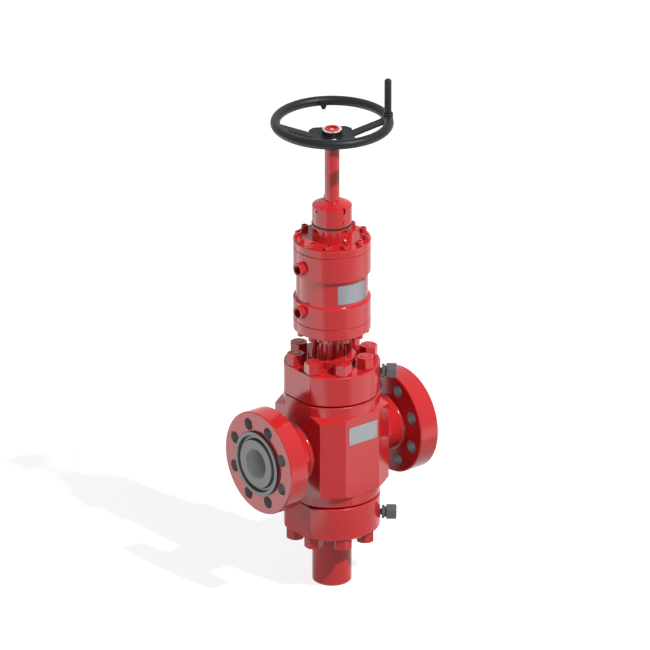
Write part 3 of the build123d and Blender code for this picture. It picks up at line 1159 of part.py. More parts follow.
nodes = {
    "valve_body": [valve_body()],
    "seat_ring_left": [Rot(0, -90, 0) * seat_ring()],
    "seat_ring_right": [Rot(0, 90, 0) * seat_ring()],
    "seat_seals": seat_seals(),
    "gate_guides": gate_guides(),
    "gate": [gate()],
    "upper_stem": [upper_stem()],
    "balance_stem": [balance_stem()],
    "upper_bonnet": [upper_bonnet()],
    "upper_bonnet_gasket": [bonnet_gasket()],
    "upper_bonnet_studs": bonnet_studs(UPPER_BONNET_TOP, UPPER_STUD_STAND_OUT),
    "upper_bonnet_nuts": bonnet_nuts(UPPER_BONNET_TOP),
    "upper_packing": packing_set(PACKING_START, 1),
    "packing_gland": [packing_gland()],
    "lower_bonnet": [lower_bonnet()],
    "lower_bonnet_gasket": [FLIPPED * bonnet_gasket()],
    "lower_bonnet_studs": [
        FLIPPED * stud for stud in bonnet_studs(LOWER_BONNET_BOTTOM, LOWER_STUD_STAND_OUT)
    ],
    "lower_bonnet_nuts": [FLIPPED * nut for nut in bonnet_nuts(LOWER_BONNET_BOTTOM)],
    "lower_packing": packing_set(-LOWER_PACKING_START, -1),
    "lower_packing_gland": [lower_packing_gland()],
    "tail_housing": [tail_housing()],
    "grease_fittings": grease_fittings(),
    "grease_caps": grease_caps(),
    "lower_head": [lower_head()],
    "neck_screws": neck_screws(),
    "lower_rod_seal": [rod_seal(STEM_DIAMETER, LOWER_SEAL_LEVEL)],
    "lower_head_screws": head_screws(LOWER_HEAD_BOTTOM, LOWER_HEAD_THICKNESS, FLIPPED),
    "barrel": [barrel()],
    "hydraulic_ports": hydraulic_ports(),
    "head_seals": [
        pilot_seal(BARREL_BOTTOM + LOWER_PILOT_HEIGHT / 2),
        pilot_seal(BARREL_TOP - UPPER_PILOT_HEIGHT / 2),
    ],
    "piston": [piston()],
    "piston_seal": [piston_seal()],
    "piston_nut": [piston_nut()],
    "upper_head": [upper_head()],
    "upper_rod_seal": [rod_seal(TAIL_ROD_DIAMETER, UPPER_SEAL_LEVEL)],
    "upper_head_screws": head_screws(UPPER_HEAD_TOP, UPPER_HEAD_THICKNESS, UPRIGHT),
    "override_housing": [override_housing()],
    "lock_ring": [lock_ring()],
    "cap_seal_ring": [cap_seal_ring()],
    "override_cap": [override_cap()],
    "cap_set_screw": [cap_set_screw()],
    "rod_wiper": [rod_wiper()],
    "grease_nipples": grease_nipples(),
    "thrust_washers": thrust_washers(),
    "thrust_cages": thrust_cages(),
    "collar_washers": collar_washers(),
    "override_rod": [override_rod()],
    "wheel_key": [key_block(0)],
    "wheel_hub": [wheel_hub()],
    "wheel_spider": [wheel_spider()],
    "wheel_rim": [wheel_rim()],
    "retaining_ring": [retaining_ring()],
    "handle_spindle": [handle_spindle()],
    "handle_grip": [handle_grip()],
    "body_plate": [body_plate()],
    "barrel_plate": [barrel_plate()],
    "plate_screws": plate_screws(),
}

os.makedirs("parts", exist_ok=True)
for name, solids in nodes.items():
    shape = solids[0] if len(solids) == 1 else Compound(children=list(solids))
    export_step(shape, f"parts/{name}.step")
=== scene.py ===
from math import cos, radians, sin, tau

import bmesh
import bpy
from mathutils import Matrix, Vector, noise


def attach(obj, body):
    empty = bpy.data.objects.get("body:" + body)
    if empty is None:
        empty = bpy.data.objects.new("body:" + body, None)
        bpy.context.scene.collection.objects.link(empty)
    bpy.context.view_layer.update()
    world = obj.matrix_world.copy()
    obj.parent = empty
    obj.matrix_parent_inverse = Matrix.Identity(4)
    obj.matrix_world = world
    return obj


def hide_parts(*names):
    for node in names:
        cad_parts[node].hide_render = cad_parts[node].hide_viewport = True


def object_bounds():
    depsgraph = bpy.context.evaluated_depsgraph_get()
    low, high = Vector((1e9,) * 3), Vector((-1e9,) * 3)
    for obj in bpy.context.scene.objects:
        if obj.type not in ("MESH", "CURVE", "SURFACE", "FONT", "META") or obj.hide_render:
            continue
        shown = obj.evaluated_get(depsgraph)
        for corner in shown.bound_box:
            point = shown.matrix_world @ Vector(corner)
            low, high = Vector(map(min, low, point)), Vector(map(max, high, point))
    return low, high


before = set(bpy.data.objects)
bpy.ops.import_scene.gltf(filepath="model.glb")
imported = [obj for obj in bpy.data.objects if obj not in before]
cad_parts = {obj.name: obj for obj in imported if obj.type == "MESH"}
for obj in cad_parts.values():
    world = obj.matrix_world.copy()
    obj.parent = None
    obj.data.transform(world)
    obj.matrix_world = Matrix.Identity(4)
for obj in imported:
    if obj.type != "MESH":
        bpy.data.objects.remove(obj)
cad_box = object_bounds()
scene = bpy.context.scene


# Camera and studio
# The valve stands by itself on a pale floor and is seen from the left front, from well above the bore.
# A long lens keeps its upright edges parallel. A high lamp on the right gives the shadows their edges.
VIEW_AZIMUTH = radians(-38.7)
VIEW_ELEVATION = radians(23.6)
VIEW_DISTANCE = 45.4
VIEW_REACH = 100
VIEW_LENS = 1000
AIM_RIGHT = -0.0176
AIM_UP = 0.2871
LAMP_TARGET = (0, 0, 0.25)
CARD_LIFT = 0.002
FLOOR_CARDS = (
    ("left_card", 2.5, 3.4, 59.4, (-1.75, 0.9)),
    ("right_card", 1.9, 1.33, 9.8, (1.05, -1.285)),
)
WHITE = (1, 1, 1, 1)
FILL_STRENGTH = 0.27
BACKDROP_STRENGTH = 1


def facing(azimuth, elevation):
    """Direction from the valve towards a camera or lamp, with azimuth 0 in front and 90 on the right."""
    return Vector((sin(azimuth) * cos(elevation), -cos(azimuth) * cos(elevation), sin(elevation)))


towards_camera = facing(VIEW_AZIMUTH, VIEW_ELEVATION)
view_right = Vector((cos(VIEW_AZIMUTH), sin(VIEW_AZIMUTH), 0))
view_up = towards_camera.cross(view_right)
camera = bpy.data.objects.new("camera", bpy.data.cameras.new("camera"))
camera.data.lens = VIEW_LENS
camera.data.clip_end = VIEW_REACH
camera.location = AIM_RIGHT * view_right + AIM_UP * view_up + VIEW_DISTANCE * towards_camera
camera.rotation_euler = (-towards_camera).to_track_quat("-Z", "Y").to_euler()
scene.collection.objects.link(camera)
scene.camera = camera
scene.view_settings.view_transform = "Standard"


def soft_box(name, azimuth, elevation, distance, width, height, watts, target=LAMP_TARGET):
    """Rectangular studio lamp that faces the target from this direction."""
    lamp = bpy.data.lights.new(name, "AREA")
    lamp.shape = "RECTANGLE"
    lamp.size = width
    lamp.size_y = height
    lamp.energy = watts
    place = bpy.data.objects.new(name, lamp)
    away = facing(azimuth, elevation)
    place.location = Vector(target) + distance * away
    place.rotation_euler = (-away).to_track_quat("-Z", "Y").to_euler()
    place.visible_camera = False
    scene.collection.objects.link(place)
    return place


soft_box(
    "key_lamp", azimuth=radians(8), elevation=radians(50.3), distance=14.0, width=0.5, height=0.5, watts=2280,
)

# Weak, wide lamp on the left that opens the shade of the end face and the ports, and leaves no highlight.
side = soft_box(
    "left_lamp", azimuth=radians(-112), elevation=radians(15), distance=3.0, width=1.0, height=1.0, watts=19,
)
side.visible_glossy = False

# Bright cards flat on the floor, left and right of the valve. Only the gloss of the paint shows them, as
# the pale bands down its cylinders and the sheen of its end face.
for name, width, depth, watts, middle in FLOOR_CARDS:
    card = soft_box(
        name, azimuth=0, elevation=radians(-90), distance=0, width=width, height=depth, watts=watts,
        target=(*middle, cad_box[0][2] + CARD_LIFT),
    )
    card.visible_diffuse = False

world = bpy.data.worlds.new("studio")
scene.world = world
world.use_nodes = True
nodes = world.node_tree.nodes
links = world.node_tree.links
nodes.clear()


def background_ray(nodes, links):
    """Mask that is 1 where the ray comes from the camera, a reflection or clear glass."""
    path = nodes.new("ShaderNodeLightPath")
    direct = nodes.new("ShaderNodeMath")
    direct.operation = "MAXIMUM"
    links.new(path.outputs["Is Camera Ray"], direct.inputs[0])
    links.new(path.outputs["Is Transmission Ray"], direct.inputs[1])
    any_seen = nodes.new("ShaderNodeMath")
    any_seen.operation = "MAXIMUM"
    links.new(direct.outputs[0], any_seen.inputs[0])
    links.new(path.outputs["Is Glossy Ray"], any_seen.inputs[1])
    return any_seen.outputs[0]


fill = nodes.new("ShaderNodeBackground")
fill.inputs["Color"].default_value = WHITE
fill.inputs["Strength"].default_value = FILL_STRENGTH
white = nodes.new("ShaderNodeBackground")
white.inputs["Color"].default_value = WHITE
white.inputs["Strength"].default_value = BACKDROP_STRENGTH
mix = nodes.new("ShaderNodeMixShader")
links.new(background_ray(nodes, links), mix.inputs[0])
links.new(fill.outputs[0], mix.inputs[1])
links.new(white.outputs[0], mix.inputs[2])
links.new(mix.outputs[0], nodes.new("ShaderNodeOutputWorld").inputs["Surface"])


# Floor
# Matt paper on which the tail housing stands. To the camera and in reflections it is as white as the
# backdrop, apart from the valve's soft shadow, and it throws only a little light back up.
FLOOR_SIZE = 40
PAPER_MATT = (0.35, 0.35, 0.35, 1)
PAPER_PALE = (0.4, 0.4, 0.4, 1)
PAPER_GLOW = 0.78

paper = bpy.data.materials.new("floor_paper")
paper.use_nodes = True
nodes = paper.node_tree.nodes
links = paper.node_tree.links
nodes.clear()
matt = nodes.new("ShaderNodeBsdfDiffuse")
matt.inputs["Color"].default_value = PAPER_MATT
pale = nodes.new("ShaderNodeBsdfDiffuse")
pale.inputs["Color"].default_value = PAPER_PALE
glow = nodes.new("ShaderNodeEmission")
glow.inputs["Color"].default_value = WHITE
glow.inputs["Strength"].default_value = PAPER_GLOW
bright = nodes.new("ShaderNodeAddShader")
links.new(pale.outputs[0], bright.inputs[0])
links.new(glow.outputs[0], bright.inputs[1])
mix = nodes.new("ShaderNodeMixShader")
links.new(background_ray(nodes, links), mix.inputs[0])
links.new(matt.outputs[0], mix.inputs[1])
links.new(bright.outputs[0], mix.inputs[2])
links.new(mix.outputs[0], nodes.new("ShaderNodeOutputMaterial").inputs["Surface"])

sheet = bmesh.new()
bmesh.ops.create_grid(sheet, x_segments=1, y_segments=1, size=FLOOR_SIZE / 2)
bmesh.ops.translate(sheet, vec=(0, 0, cad_box[0][2]), verts=sheet.verts)
floor_mesh = bpy.data.meshes.new("floor")
sheet.to_mesh(floor_mesh)
sheet.free()
floor_mesh.materials.append(paper)
floor = bpy.data.objects.new("floor", floor_mesh)
scene.collection.objects.link(floor)


# Valve body
# One forging with a flange at each end, machined and then sprayed with gloss enamel all over.
# The raised faces with their ring grooves, the bore, the seat pockets and the bolt holes stay bare steel.
GROOVE_BOTTOM = 0.237
RAISED_FACE_RADIUS = 0.0842
BORE_RADIUS = 0.0397
POCKET_END = 0.0502
POCKET_HALF_WIDTH = 0.0625
FLANGE_BACK = 0.178
FLANGE_BOLTS = 8
FLANGE_BOLT_RADIUS = 0.1016
LEFT_HOLE_RADIUS = 0.0159
RIGHT_HOLE_RADIUS = 0.0161
BORE_SLACK = 1e-4
HOLE_SLACK = 2e-5
PEEL_SCALE = 260.0
PEEL_DEPTH = 0.00003
FILM_SCALE = 14
COAT_GLOSS_CHANGE = 0.05
CUT_SCALE = 900.0
CUT_DEPTH = 0.00002
BLOTCH_SCALE = 40
METAL_GLOSS_CHANGE = 0.06
MERGE_DISTANCE = 1e-6
FLAT_WITHIN = radians(0.4)
SHARP_ANGLE = radians(28)
PAINTED, TURNED, DRILLED, BORED = range(4)

hole_angles = [(hole + 0.5) * tau / FLANGE_BOLTS for hole in range(FLANGE_BOLTS)]
hole_centres = [FLANGE_BOLT_RADIUS * Vector((0, cos(angle), sin(angle))) for angle in hole_angles]


def node_group(name, inputs, outputs):
    """Empty shader group with these sockets, and its input and output nodes."""
    group = bpy.data.node_groups.new(name, "ShaderNodeTree")
    for socket, value in inputs.items():
        kind = "NodeSocketFloat" if isinstance(value, (int, float)) else "NodeSocketVector"
        group.interface.new_socket(socket, in_out="INPUT", socket_type=kind).default_value = value
    for socket, kind in outputs.items():
        group.interface.new_socket(socket, in_out="OUTPUT", socket_type=kind)
    return group, group.nodes.new("NodeGroupInput"), group.nodes.new("NodeGroupOutput")


def sprayed_film():
    """Sprayed enamel's orange peel as a normal, and a slow change of film thickness as a mask."""
    group, given, result = node_group(
        "sprayed_film", {"Place": (0, 0, 0), "Peel": PEEL_SCALE, "Depth": PEEL_DEPTH},
        {"Normal": "NodeSocketVector", "Film": "NodeSocketFloat"},
    )
    nodes, links = group.nodes, group.links
    ripple = nodes.new("ShaderNodeTexNoise")
    ripple.inputs["Detail"].default_value = 1
    links.new(given.outputs["Place"], ripple.inputs["Vector"])
    links.new(given.outputs["Peel"], ripple.inputs["Scale"])
    bump = nodes.new("ShaderNodeBump")
    links.new(ripple.outputs["Fac"], bump.inputs["Height"])
    links.new(given.outputs["Depth"], bump.inputs["Distance"])
    links.new(bump.outputs["Normal"], result.inputs["Normal"])
    film = nodes.new("ShaderNodeTexNoise")
    film.inputs["Scale"].default_value = FILM_SCALE
    film.inputs["Detail"].default_value = 3
    links.new(given.outputs["Place"], film.inputs["Vector"])
    links.new(film.outputs["Fac"], result.inputs["Film"])
    return group


def coated(name, thick, thin, roughness, specular, peel=PEEL_SCALE, depth=PEEL_DEPTH):
    """Sprayed coat in two near tones of one colour, with its own orange peel and gloss."""
    coat = bpy.data.materials.new(name)
    coat.use_nodes = True
    nodes, links = coat.node_tree.nodes, coat.node_tree.links
    shader = nodes["Principled BSDF"]
    shader.inputs["Specular IOR Level"].default_value = specular
    place = nodes.new("ShaderNodeTexCoord")
    film = nodes.new("ShaderNodeGroup")
    film.node_tree = bpy.data.node_groups.get("sprayed_film") or sprayed_film()
    film.inputs["Peel"].default_value = peel
    film.inputs["Depth"].default_value = depth
    links.new(place.outputs["Object"], film.inputs["Place"])
    tones = nodes.new("ShaderNodeMix")
    tones.data_type = "RGBA"
    tones.inputs["A"].default_value = (*thin, 1)
    tones.inputs["B"].default_value = (*thick, 1)
    links.new(film.outputs["Film"], tones.inputs["Factor"])
    links.new(tones.outputs["Result"], shader.inputs["Base Color"])
    gloss = nodes.new("ShaderNodeMapRange")
    gloss.inputs["To Min"].default_value = roughness + COAT_GLOSS_CHANGE
    gloss.inputs["To Max"].default_value = roughness - COAT_GLOSS_CHANGE
    links.new(film.outputs["Film"], gloss.inputs["Value"])
    links.new(gloss.outputs["Result"], shader.inputs["Roughness"])
    links.new(film.outputs["Normal"], shader.inputs["Normal"])
    return coat


def cut_marks():
    """Marks of a tool on bare metal, fine along one direction, with slow blotches from handling."""
    group, given, result = node_group(
        "cut_marks", {"Place": (0, 0, 0), "Scale": CUT_SCALE, "Depth": CUT_DEPTH},
        {"Normal": "NodeSocketVector", "Blotch": "NodeSocketFloat"},
    )
    nodes, links = group.nodes, group.links
    grain = nodes.new("ShaderNodeTexNoise")
    grain.inputs["Detail"].default_value = 2
    links.new(given.outputs["Place"], grain.inputs["Vector"])
    links.new(given.outputs["Scale"], grain.inputs["Scale"])
    bump = nodes.new("ShaderNodeBump")
    links.new(grain.outputs["Fac"], bump.inputs["Height"])
    links.new(given.outputs["Depth"], bump.inputs["Distance"])
    links.new(bump.outputs["Normal"], result.inputs["Normal"])
    blotch = nodes.new("ShaderNodeTexNoise")
    blotch.inputs["Scale"].default_value = BLOTCH_SCALE
    blotch.inputs["Detail"].default_value = 4
    links.new(given.outputs["Place"], blotch.inputs["Vector"])
    links.new(blotch.outputs["Fac"], result.inputs["Blotch"])
    return group


def bare_metal(
    name, light, dark, roughness, stretch=(1, 1, 1), scale=CUT_SCALE, depth=CUT_DEPTH, lathe_axis=None,
):
    """Unpainted metal in two near tones. Marks are stretched along the cut, or run round a lathe's axis."""
    metal = bpy.data.materials.new(name)
    metal.use_nodes = True
    nodes, links = metal.node_tree.nodes, metal.node_tree.links
    shader = nodes["Principled BSDF"]
    shader.inputs["Metallic"].default_value = 1
    place = nodes.new("ShaderNodeTexCoord")
    lie = nodes.new("ShaderNodeMapping")
    lie.inputs["Scale"].default_value = stretch
    links.new(place.outputs["Object"], lie.inputs["Vector"])
    marks = nodes.new("ShaderNodeGroup")
    marks.node_tree = bpy.data.node_groups.get("cut_marks") or cut_marks()
    marks.inputs["Scale"].default_value = scale
    marks.inputs["Depth"].default_value = depth
    if lathe_axis is None:
        links.new(lie.outputs["Vector"], marks.inputs["Place"])
    else:
        across = nodes.new("ShaderNodeVectorMath")
        across.operation = "MULTIPLY"
        across.inputs[1].default_value = [0 if axis == lathe_axis else 1 for axis in "XYZ"]
        links.new(lie.outputs["Vector"], across.inputs[0])
        radius = nodes.new("ShaderNodeVectorMath")
        radius.operation = "LENGTH"
        links.new(across.outputs[0], radius.inputs[0])
        along = nodes.new("ShaderNodeSeparateXYZ")
        links.new(lie.outputs["Vector"], along.inputs[0])
        ring = nodes.new("ShaderNodeCombineXYZ")
        links.new(radius.outputs["Value"], ring.inputs["X"])
        links.new(along.outputs[lathe_axis], ring.inputs["Y"])
        links.new(ring.outputs[0], marks.inputs["Place"])
    tones = nodes.new("ShaderNodeMix")
    tones.data_type = "RGBA"
    tones.inputs["A"].default_value = (*dark, 1)
    tones.inputs["B"].default_value = (*light, 1)
    links.new(marks.outputs["Blotch"], tones.inputs["Factor"])
    links.new(tones.outputs["Result"], shader.inputs["Base Color"])
    gloss = nodes.new("ShaderNodeMapRange")
    gloss.inputs["To Min"].default_value = roughness - METAL_GLOSS_CHANGE
    gloss.inputs["To Max"].default_value = roughness + METAL_GLOSS_CHANGE
    links.new(marks.outputs["Blotch"], gloss.inputs["Value"])
    links.new(gloss.outputs["Result"], shader.inputs["Roughness"])
    links.new(marks.outputs["Normal"], shader.inputs["Normal"])
    return metal


def from_solid(node, finish=None):
    """Copy of a CAD solid with its facets joined into whole faces, each finish kept apart."""
    mesh = bmesh.new()
    mesh.from_mesh(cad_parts[node].data)
    bmesh.ops.remove_doubles(mesh, verts=mesh.verts, dist=MERGE_DISTANCE)
    for face in mesh.faces:
        face.material_index = finish(face.calc_center_median()) if finish else 0
    bmesh.ops.dissolve_limit(
        mesh, angle_limit=FLAT_WITHIN, verts=mesh.verts, edges=mesh.edges, delimit={"MATERIAL"},
    )
    return mesh


def made(mesh, name, *materials):
    """Finished piece from a bmesh: smooth over round faces, with its sharp edges kept."""
    for face in mesh.faces:
        face.smooth = True
    for edge in mesh.edges:
        edge.smooth = edge.is_manifold and edge.calc_face_angle() < SHARP_ANGLE
    data = bpy.data.meshes.new(name)
    mesh.to_mesh(data)
    mesh.free()
    for material in materials:
        data.materials.append(material)
    piece = bpy.data.objects.new(name, data)
    scene.collection.objects.link(piece)
    even = piece.modifiers.new("flat_faces_stay_flat", "WEIGHTED_NORMAL")
    even.keep_sharp = True
    return piece


def body_finish(place):
    """Finish of one place: turned raised face, bored seat or bore, drilled bolt hole, or painted."""
    across = Vector((0, place.y, place.z))
    if abs(place.x) > GROOVE_BOTTOM and BORE_RADIUS < across.length < RAISED_FACE_RADIUS:
        return TURNED
    if across.length < BORE_RADIUS + BORE_SLACK:
        return BORED
    if abs(place.x) < POCKET_END and abs(place.y) < POCKET_HALF_WIDTH:
        return BORED
    reach = (RIGHT_HOLE_RADIUS if place.x > 0 else LEFT_HOLE_RADIUS) - HOLE_SLACK
    if abs(place.x) > FLANGE_BACK and any((across - centre).length < reach for centre in hole_centres):
        return DRILLED
    return PAINTED


red_enamel = coated(
    "red_enamel", thick=(0.52, 0.019, 0.022), thin=(0.475, 0.015, 0.018), roughness=0.17, specular=0.32,
)
turned_steel = bare_metal(
    "turned_steel", light=(0.095, 0.095, 0.095), dark=(0.077, 0.077, 0.077), roughness=0.5,
    scale=1400, depth=0.00006, lathe_axis="X",
)
drilled_steel = bare_metal(
    "drilled_steel", light=(0.44, 0.45, 0.46), dark=(0.36, 0.37, 0.38), roughness=0.5, lathe_axis="X",
)
# Lighter copy of the drilled steel: painted light that lifts the shade inside the deep bore and the seat
# pockets.
bore_steel_painted_light = bare_metal(
    "bore_steel_painted_light", light=(0.70, 0.71, 0.73), dark=(0.61, 0.62, 0.64), roughness=0.5, lathe_axis="X",
)

valve_body = made(
    from_solid("valve_body", body_finish), "valve_body_forging",
    red_enamel, turned_steel, drilled_steel, bore_steel_painted_light,
)
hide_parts("valve_body")
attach(valve_body, "valve")


# Gate, seats and guides
# Slab gate between two floating seat rings, lapped flat and hard faced, and two guide strips that keep it
# square to the bore. The seats carry rubber back seals. All of them sit loose in the body's cavity.
lapped_steel = bare_metal(
    "lapped_steel", light=(0.34, 0.34, 0.35), dark=(0.28, 0.28, 0.29), roughness=0.32, lathe_axis="X",
)
black_rubber = coated(
    "black_rubber", thick=(0.013, 0.013, 0.014), thin=(0.010, 0.010, 0.010), roughness=0.62, specular=0.3,
    peel=700.0,
)


def dress(node, material):
    """Finish on a CAD solid that keeps its own mesh."""
    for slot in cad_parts[node].material_slots:
        slot.material = material


for node in ("gate", "seat_ring_left", "seat_ring_right", "gate_guides"):
    dress(node, lapped_steel)
dress("seat_seals", black_rubber)


# Bonnets
# Two forged covers, each turned round, milled flat at its ends and sprayed red, drawn down on a bright
# ring gasket in the body's groove. The upper one carries the neck's boss.
for node in ("upper_bonnet", "lower_bonnet"):
    bonnet = made(from_solid(node), node + "_forging", red_enamel)
    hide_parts(node)
    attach(bonnet, "valve")
for node in ("upper_bonnet_gasket", "lower_bonnet_gasket"):
    dress(node, lapped_steel)


# Bonnet studs
# Eight fully threaded alloy studs in each end of the body, oversprayed together with the bonnets.
# Their ends stand just proud of the nuts.
STUD_RADIUS = 0.0127
STUD_ROOT = 0.0112
STUD_PITCH = 0.003175
STUD_TIP = 0.0026
STUD_RUN_OUT = 0.001
BONNET_STUDS = 8
BONNET_BOLT_CIRCLE = 0.1905
UPPER_STUD = (0.103, 0.219, 0.250)
LOWER_STUD = (-0.103, -0.228, -0.262)
SEAM_DISTANCE = 1e-7
RIDGE_STEPS = 24
RIDGE_BURIED = 0.4
RIDGE_FLANKS = (0.42, 0.58)


def turned_bar(mesh, profile, steps=32):
    """Closed bar or ring, turned about Z from a profile of (radius, height) points."""
    corners = [mesh.verts.new((radius, 0, height)) for radius, height in profile]
    pairs = list(zip(corners, corners[1:]))
    if profile[0][0] > 0 and profile[-1][0] > 0:
        pairs.append((corners[-1], corners[0]))
    edges = [mesh.edges.new(pair) for pair in pairs]
    bmesh.ops.spin(
        mesh, geom=corners + edges, cent=(0, 0, 0), axis=(0, 0, 1), angle=tau, steps=steps, use_merge=True,
    )
    bmesh.ops.remove_doubles(mesh, verts=mesh.verts, dist=SEAM_DISTANCE)
    bmesh.ops.recalc_face_normals(mesh, faces=mesh.faces)


def thread_ridge(mesh, root, crest, pitch, start, end):
    """Helical ridge from one height to the other, buried in its bar at the root."""
    direction = 1 if end > start else -1
    turns = (abs(end - start) - pitch) / pitch
    buried = root - RIDGE_BURIED * (crest - root)
    section = [(buried, 0), *((crest, share * pitch) for share in RIDGE_FLANKS), (buried, pitch)]
    corners = [mesh.verts.new((radius, 0, start + direction * height)) for radius, height in section]
    flat = mesh.faces.new(corners)
    count = round(turns * RIDGE_STEPS)
    bmesh.ops.spin(
        mesh, geom=[flat], cent=(0, 0, 0), axis=(0, 0, 1), dvec=(0, 0, direction * pitch / RIDGE_STEPS),
        angle=tau * count / RIDGE_STEPS, steps=count, use_duplicate=False,
    )
    bmesh.ops.recalc_face_normals(mesh, faces=mesh.faces)


def copies_around(mesh, radius, count, first):
    """Moves the mesh's one part out to a bolt circle and repeats it around Z."""
    bmesh.ops.translate(mesh, vec=(radius, 0, 0), verts=mesh.verts)
    bmesh.ops.rotate(mesh, cent=(0, 0, 0), matrix=Matrix.Rotation(first, 3, "Z"), verts=mesh.verts)
    single = list(mesh.verts) + list(mesh.edges) + list(mesh.faces)
    for turn in range(1, count):
        copy = bmesh.ops.duplicate(mesh, geom=single)["geom"]
        verts = [part for part in copy if isinstance(part, bmesh.types.BMVert)]
        around = Matrix.Rotation(turn * tau / count, 3, "Z")
        bmesh.ops.rotate(mesh, cent=(0, 0, 0), matrix=around, verts=verts)


for node, (buried, seat, tip) in (("upper_bonnet_studs", UPPER_STUD), ("lower_bonnet_studs", LOWER_STUD)):
    outwards = 1 if tip > buried else -1
    stud = bmesh.new()
    turned_bar(stud, [
        (0, buried), (STUD_RADIUS, buried), (STUD_RADIUS, seat), (STUD_ROOT, seat + outwards * STUD_RUN_OUT),
        (STUD_ROOT, tip - outwards * STUD_TIP / 2), (STUD_ROOT - STUD_TIP / 2, tip), (0, tip),
    ])
    thread_ridge(stud, STUD_ROOT, STUD_RADIUS, STUD_PITCH, seat, tip - outwards * STUD_TIP / 4)
    copies_around(stud, BONNET_BOLT_CIRCLE / 2, BONNET_STUDS, tau / BONNET_STUDS / 2)
    studs = made(stud, node + "_threaded", red_enamel)
    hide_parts(node)
    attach(studs, "valve")


# Bonnet nuts
# Heavy hexagon nuts, forged with washer faces, spun down on the studs and sprayed over.
for node in ("upper_bonnet_nuts", "lower_bonnet_nuts"):
    nuts = made(from_solid(node), node + "_heavy", red_enamel)
    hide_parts(node)
    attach(nuts, "valve")


# Tail housing
# Closed steel tube under the lower bonnet, screwed into it, that covers the balance stem.
tail = made(from_solid("tail_housing"), "tail_housing_tube", red_enamel)
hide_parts("tail_housing")
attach(tail, "valve")
dress("balance_stem", lapped_steel)
dress("lower_packing_gland", lapped_steel)


# Grease fittings
# A hexagon steel fitting with a check valve on each bonnet, screwed into a spot face, and a hexagon cap
# screwed over its thread. Both are phosphated dark grey.
FITTING_ANGLE = radians(-40)
FITTING_FACE = 0.1195
FITTING_HEIGHTS = (0.190, -0.198)
FITTING_THREAD = (0.013, 0.0134)
FITTING_PITCH = 0.0015
FITTING_GAP = (0.0130, 0.0170)


def join_in(whole, part, place):
    """Moves a part to its place and joins it into the whole mesh."""
    bmesh.ops.transform(part, matrix=place, verts=part.verts)
    data = bpy.data.meshes.new("part")
    part.to_mesh(data)
    part.free()
    whole.from_mesh(data)
    bpy.data.meshes.remove(data)


phosphated_steel = coated(
    "phosphated_steel", thick=(0.105, 0.105, 0.102), thin=(0.08, 0.08, 0.078), roughness=0.40, specular=0.35,
    peel=900.0, depth=0.00002,
)
for node, name in (("grease_fittings", "grease_fitting_bodies"), ("grease_caps", "grease_fitting_caps")):
    fitting = made(from_solid(node), name, phosphated_steel)
    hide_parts(node)
    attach(fitting, "valve")

threads = bmesh.new()
for height in FITTING_HEIGHTS:
    thread = bmesh.new()
    thread_ridge(thread, *FITTING_THREAD, FITTING_PITCH, *FITTING_GAP)
    on_bonnet = Matrix.Rotation(FITTING_ANGLE, 4, "Z") @ Matrix.Translation((FITTING_FACE, 0, height))
    join_in(threads, thread, on_bonnet @ Matrix.Rotation(radians(90), 4, "Y"))
fitting_threads = made(threads, "grease_fitting_threads", phosphated_steel)
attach(fitting_threads, "valve")


# Stems and packing
# Polished stem with its tee heads in the gate, and a set of vee rings in each bonnet, pressed by a gland.
polished_steel = bare_metal(
    "polished_steel", light=(0.50, 0.50, 0.51), dark=(0.44, 0.44, 0.45), roughness=0.22, lathe_axis="Z",
)
packing_rings = coated(
    "packing_rings", thick=(0.62, 0.60, 0.54), thin=(0.55, 0.53, 0.47), roughness=0.6, specular=0.4,
    peel=500.0,
)
dress("upper_stem", polished_steel)
for node in ("upper_packing", "lower_packing"):
    dress(node, packing_rings)


# Neck
# Turned gland between the upper bonnet and the cylinder, and the four long cap screws around it that
# pull the cylinder down on the bonnet's boss.
for node in ("packing_gland", "neck_screws"):
    piece = made(from_solid(node), node + "_red", red_enamel)
    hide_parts(node)
    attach(piece, "valve")


# Cylinder heads
# Two turned steel discs with pilots that close the barrel, held by twelve socket cap screws each.
# The heads, the screws and their sockets are sprayed together.
for node in ("lower_head", "upper_head", "lower_head_screws", "upper_head_screws"):
    piece = made(from_solid(node), node + "_red", red_enamel)
    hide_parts(node)
    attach(piece, "valve")
for node in ("head_seals", "lower_rod_seal", "upper_rod_seal", "piston_seal"):
    dress(node, black_rubber)
for node in ("piston", "piston_nut"):
    dress(node, polished_steel)


# Barrel and hydraulic ports
# Steel tube with a raised band at each end and a turned waist between them, and two half couplings
# welded into it, each with a female pipe thread. All of it is sprayed red.
PORT_HEIGHTS = (0.376, 0.493)
PORT_MOUTH = -0.1113
PORT_THREAD = (0.0131, 0.0121)
PORT_PITCH = 0.0018
PORT_THREADED = (0.0004, 0.017)

for node in ("barrel", "hydraulic_ports"):
    piece = made(from_solid(node), node + "_red", red_enamel)
    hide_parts(node)
    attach(piece, "valve")

threads = bmesh.new()
for height in PORT_HEIGHTS:
    thread = bmesh.new()
    thread_ridge(thread, *PORT_THREAD, PORT_PITCH, *PORT_THREADED)
    in_port = Matrix.Translation((PORT_MOUTH, 0, height)) @ Matrix.Rotation(radians(90), 4, "Y")
    join_in(threads, thread, in_port)
port_threads = made(threads, "hydraulic_port_threads", red_enamel)
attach(port_threads, "valve")


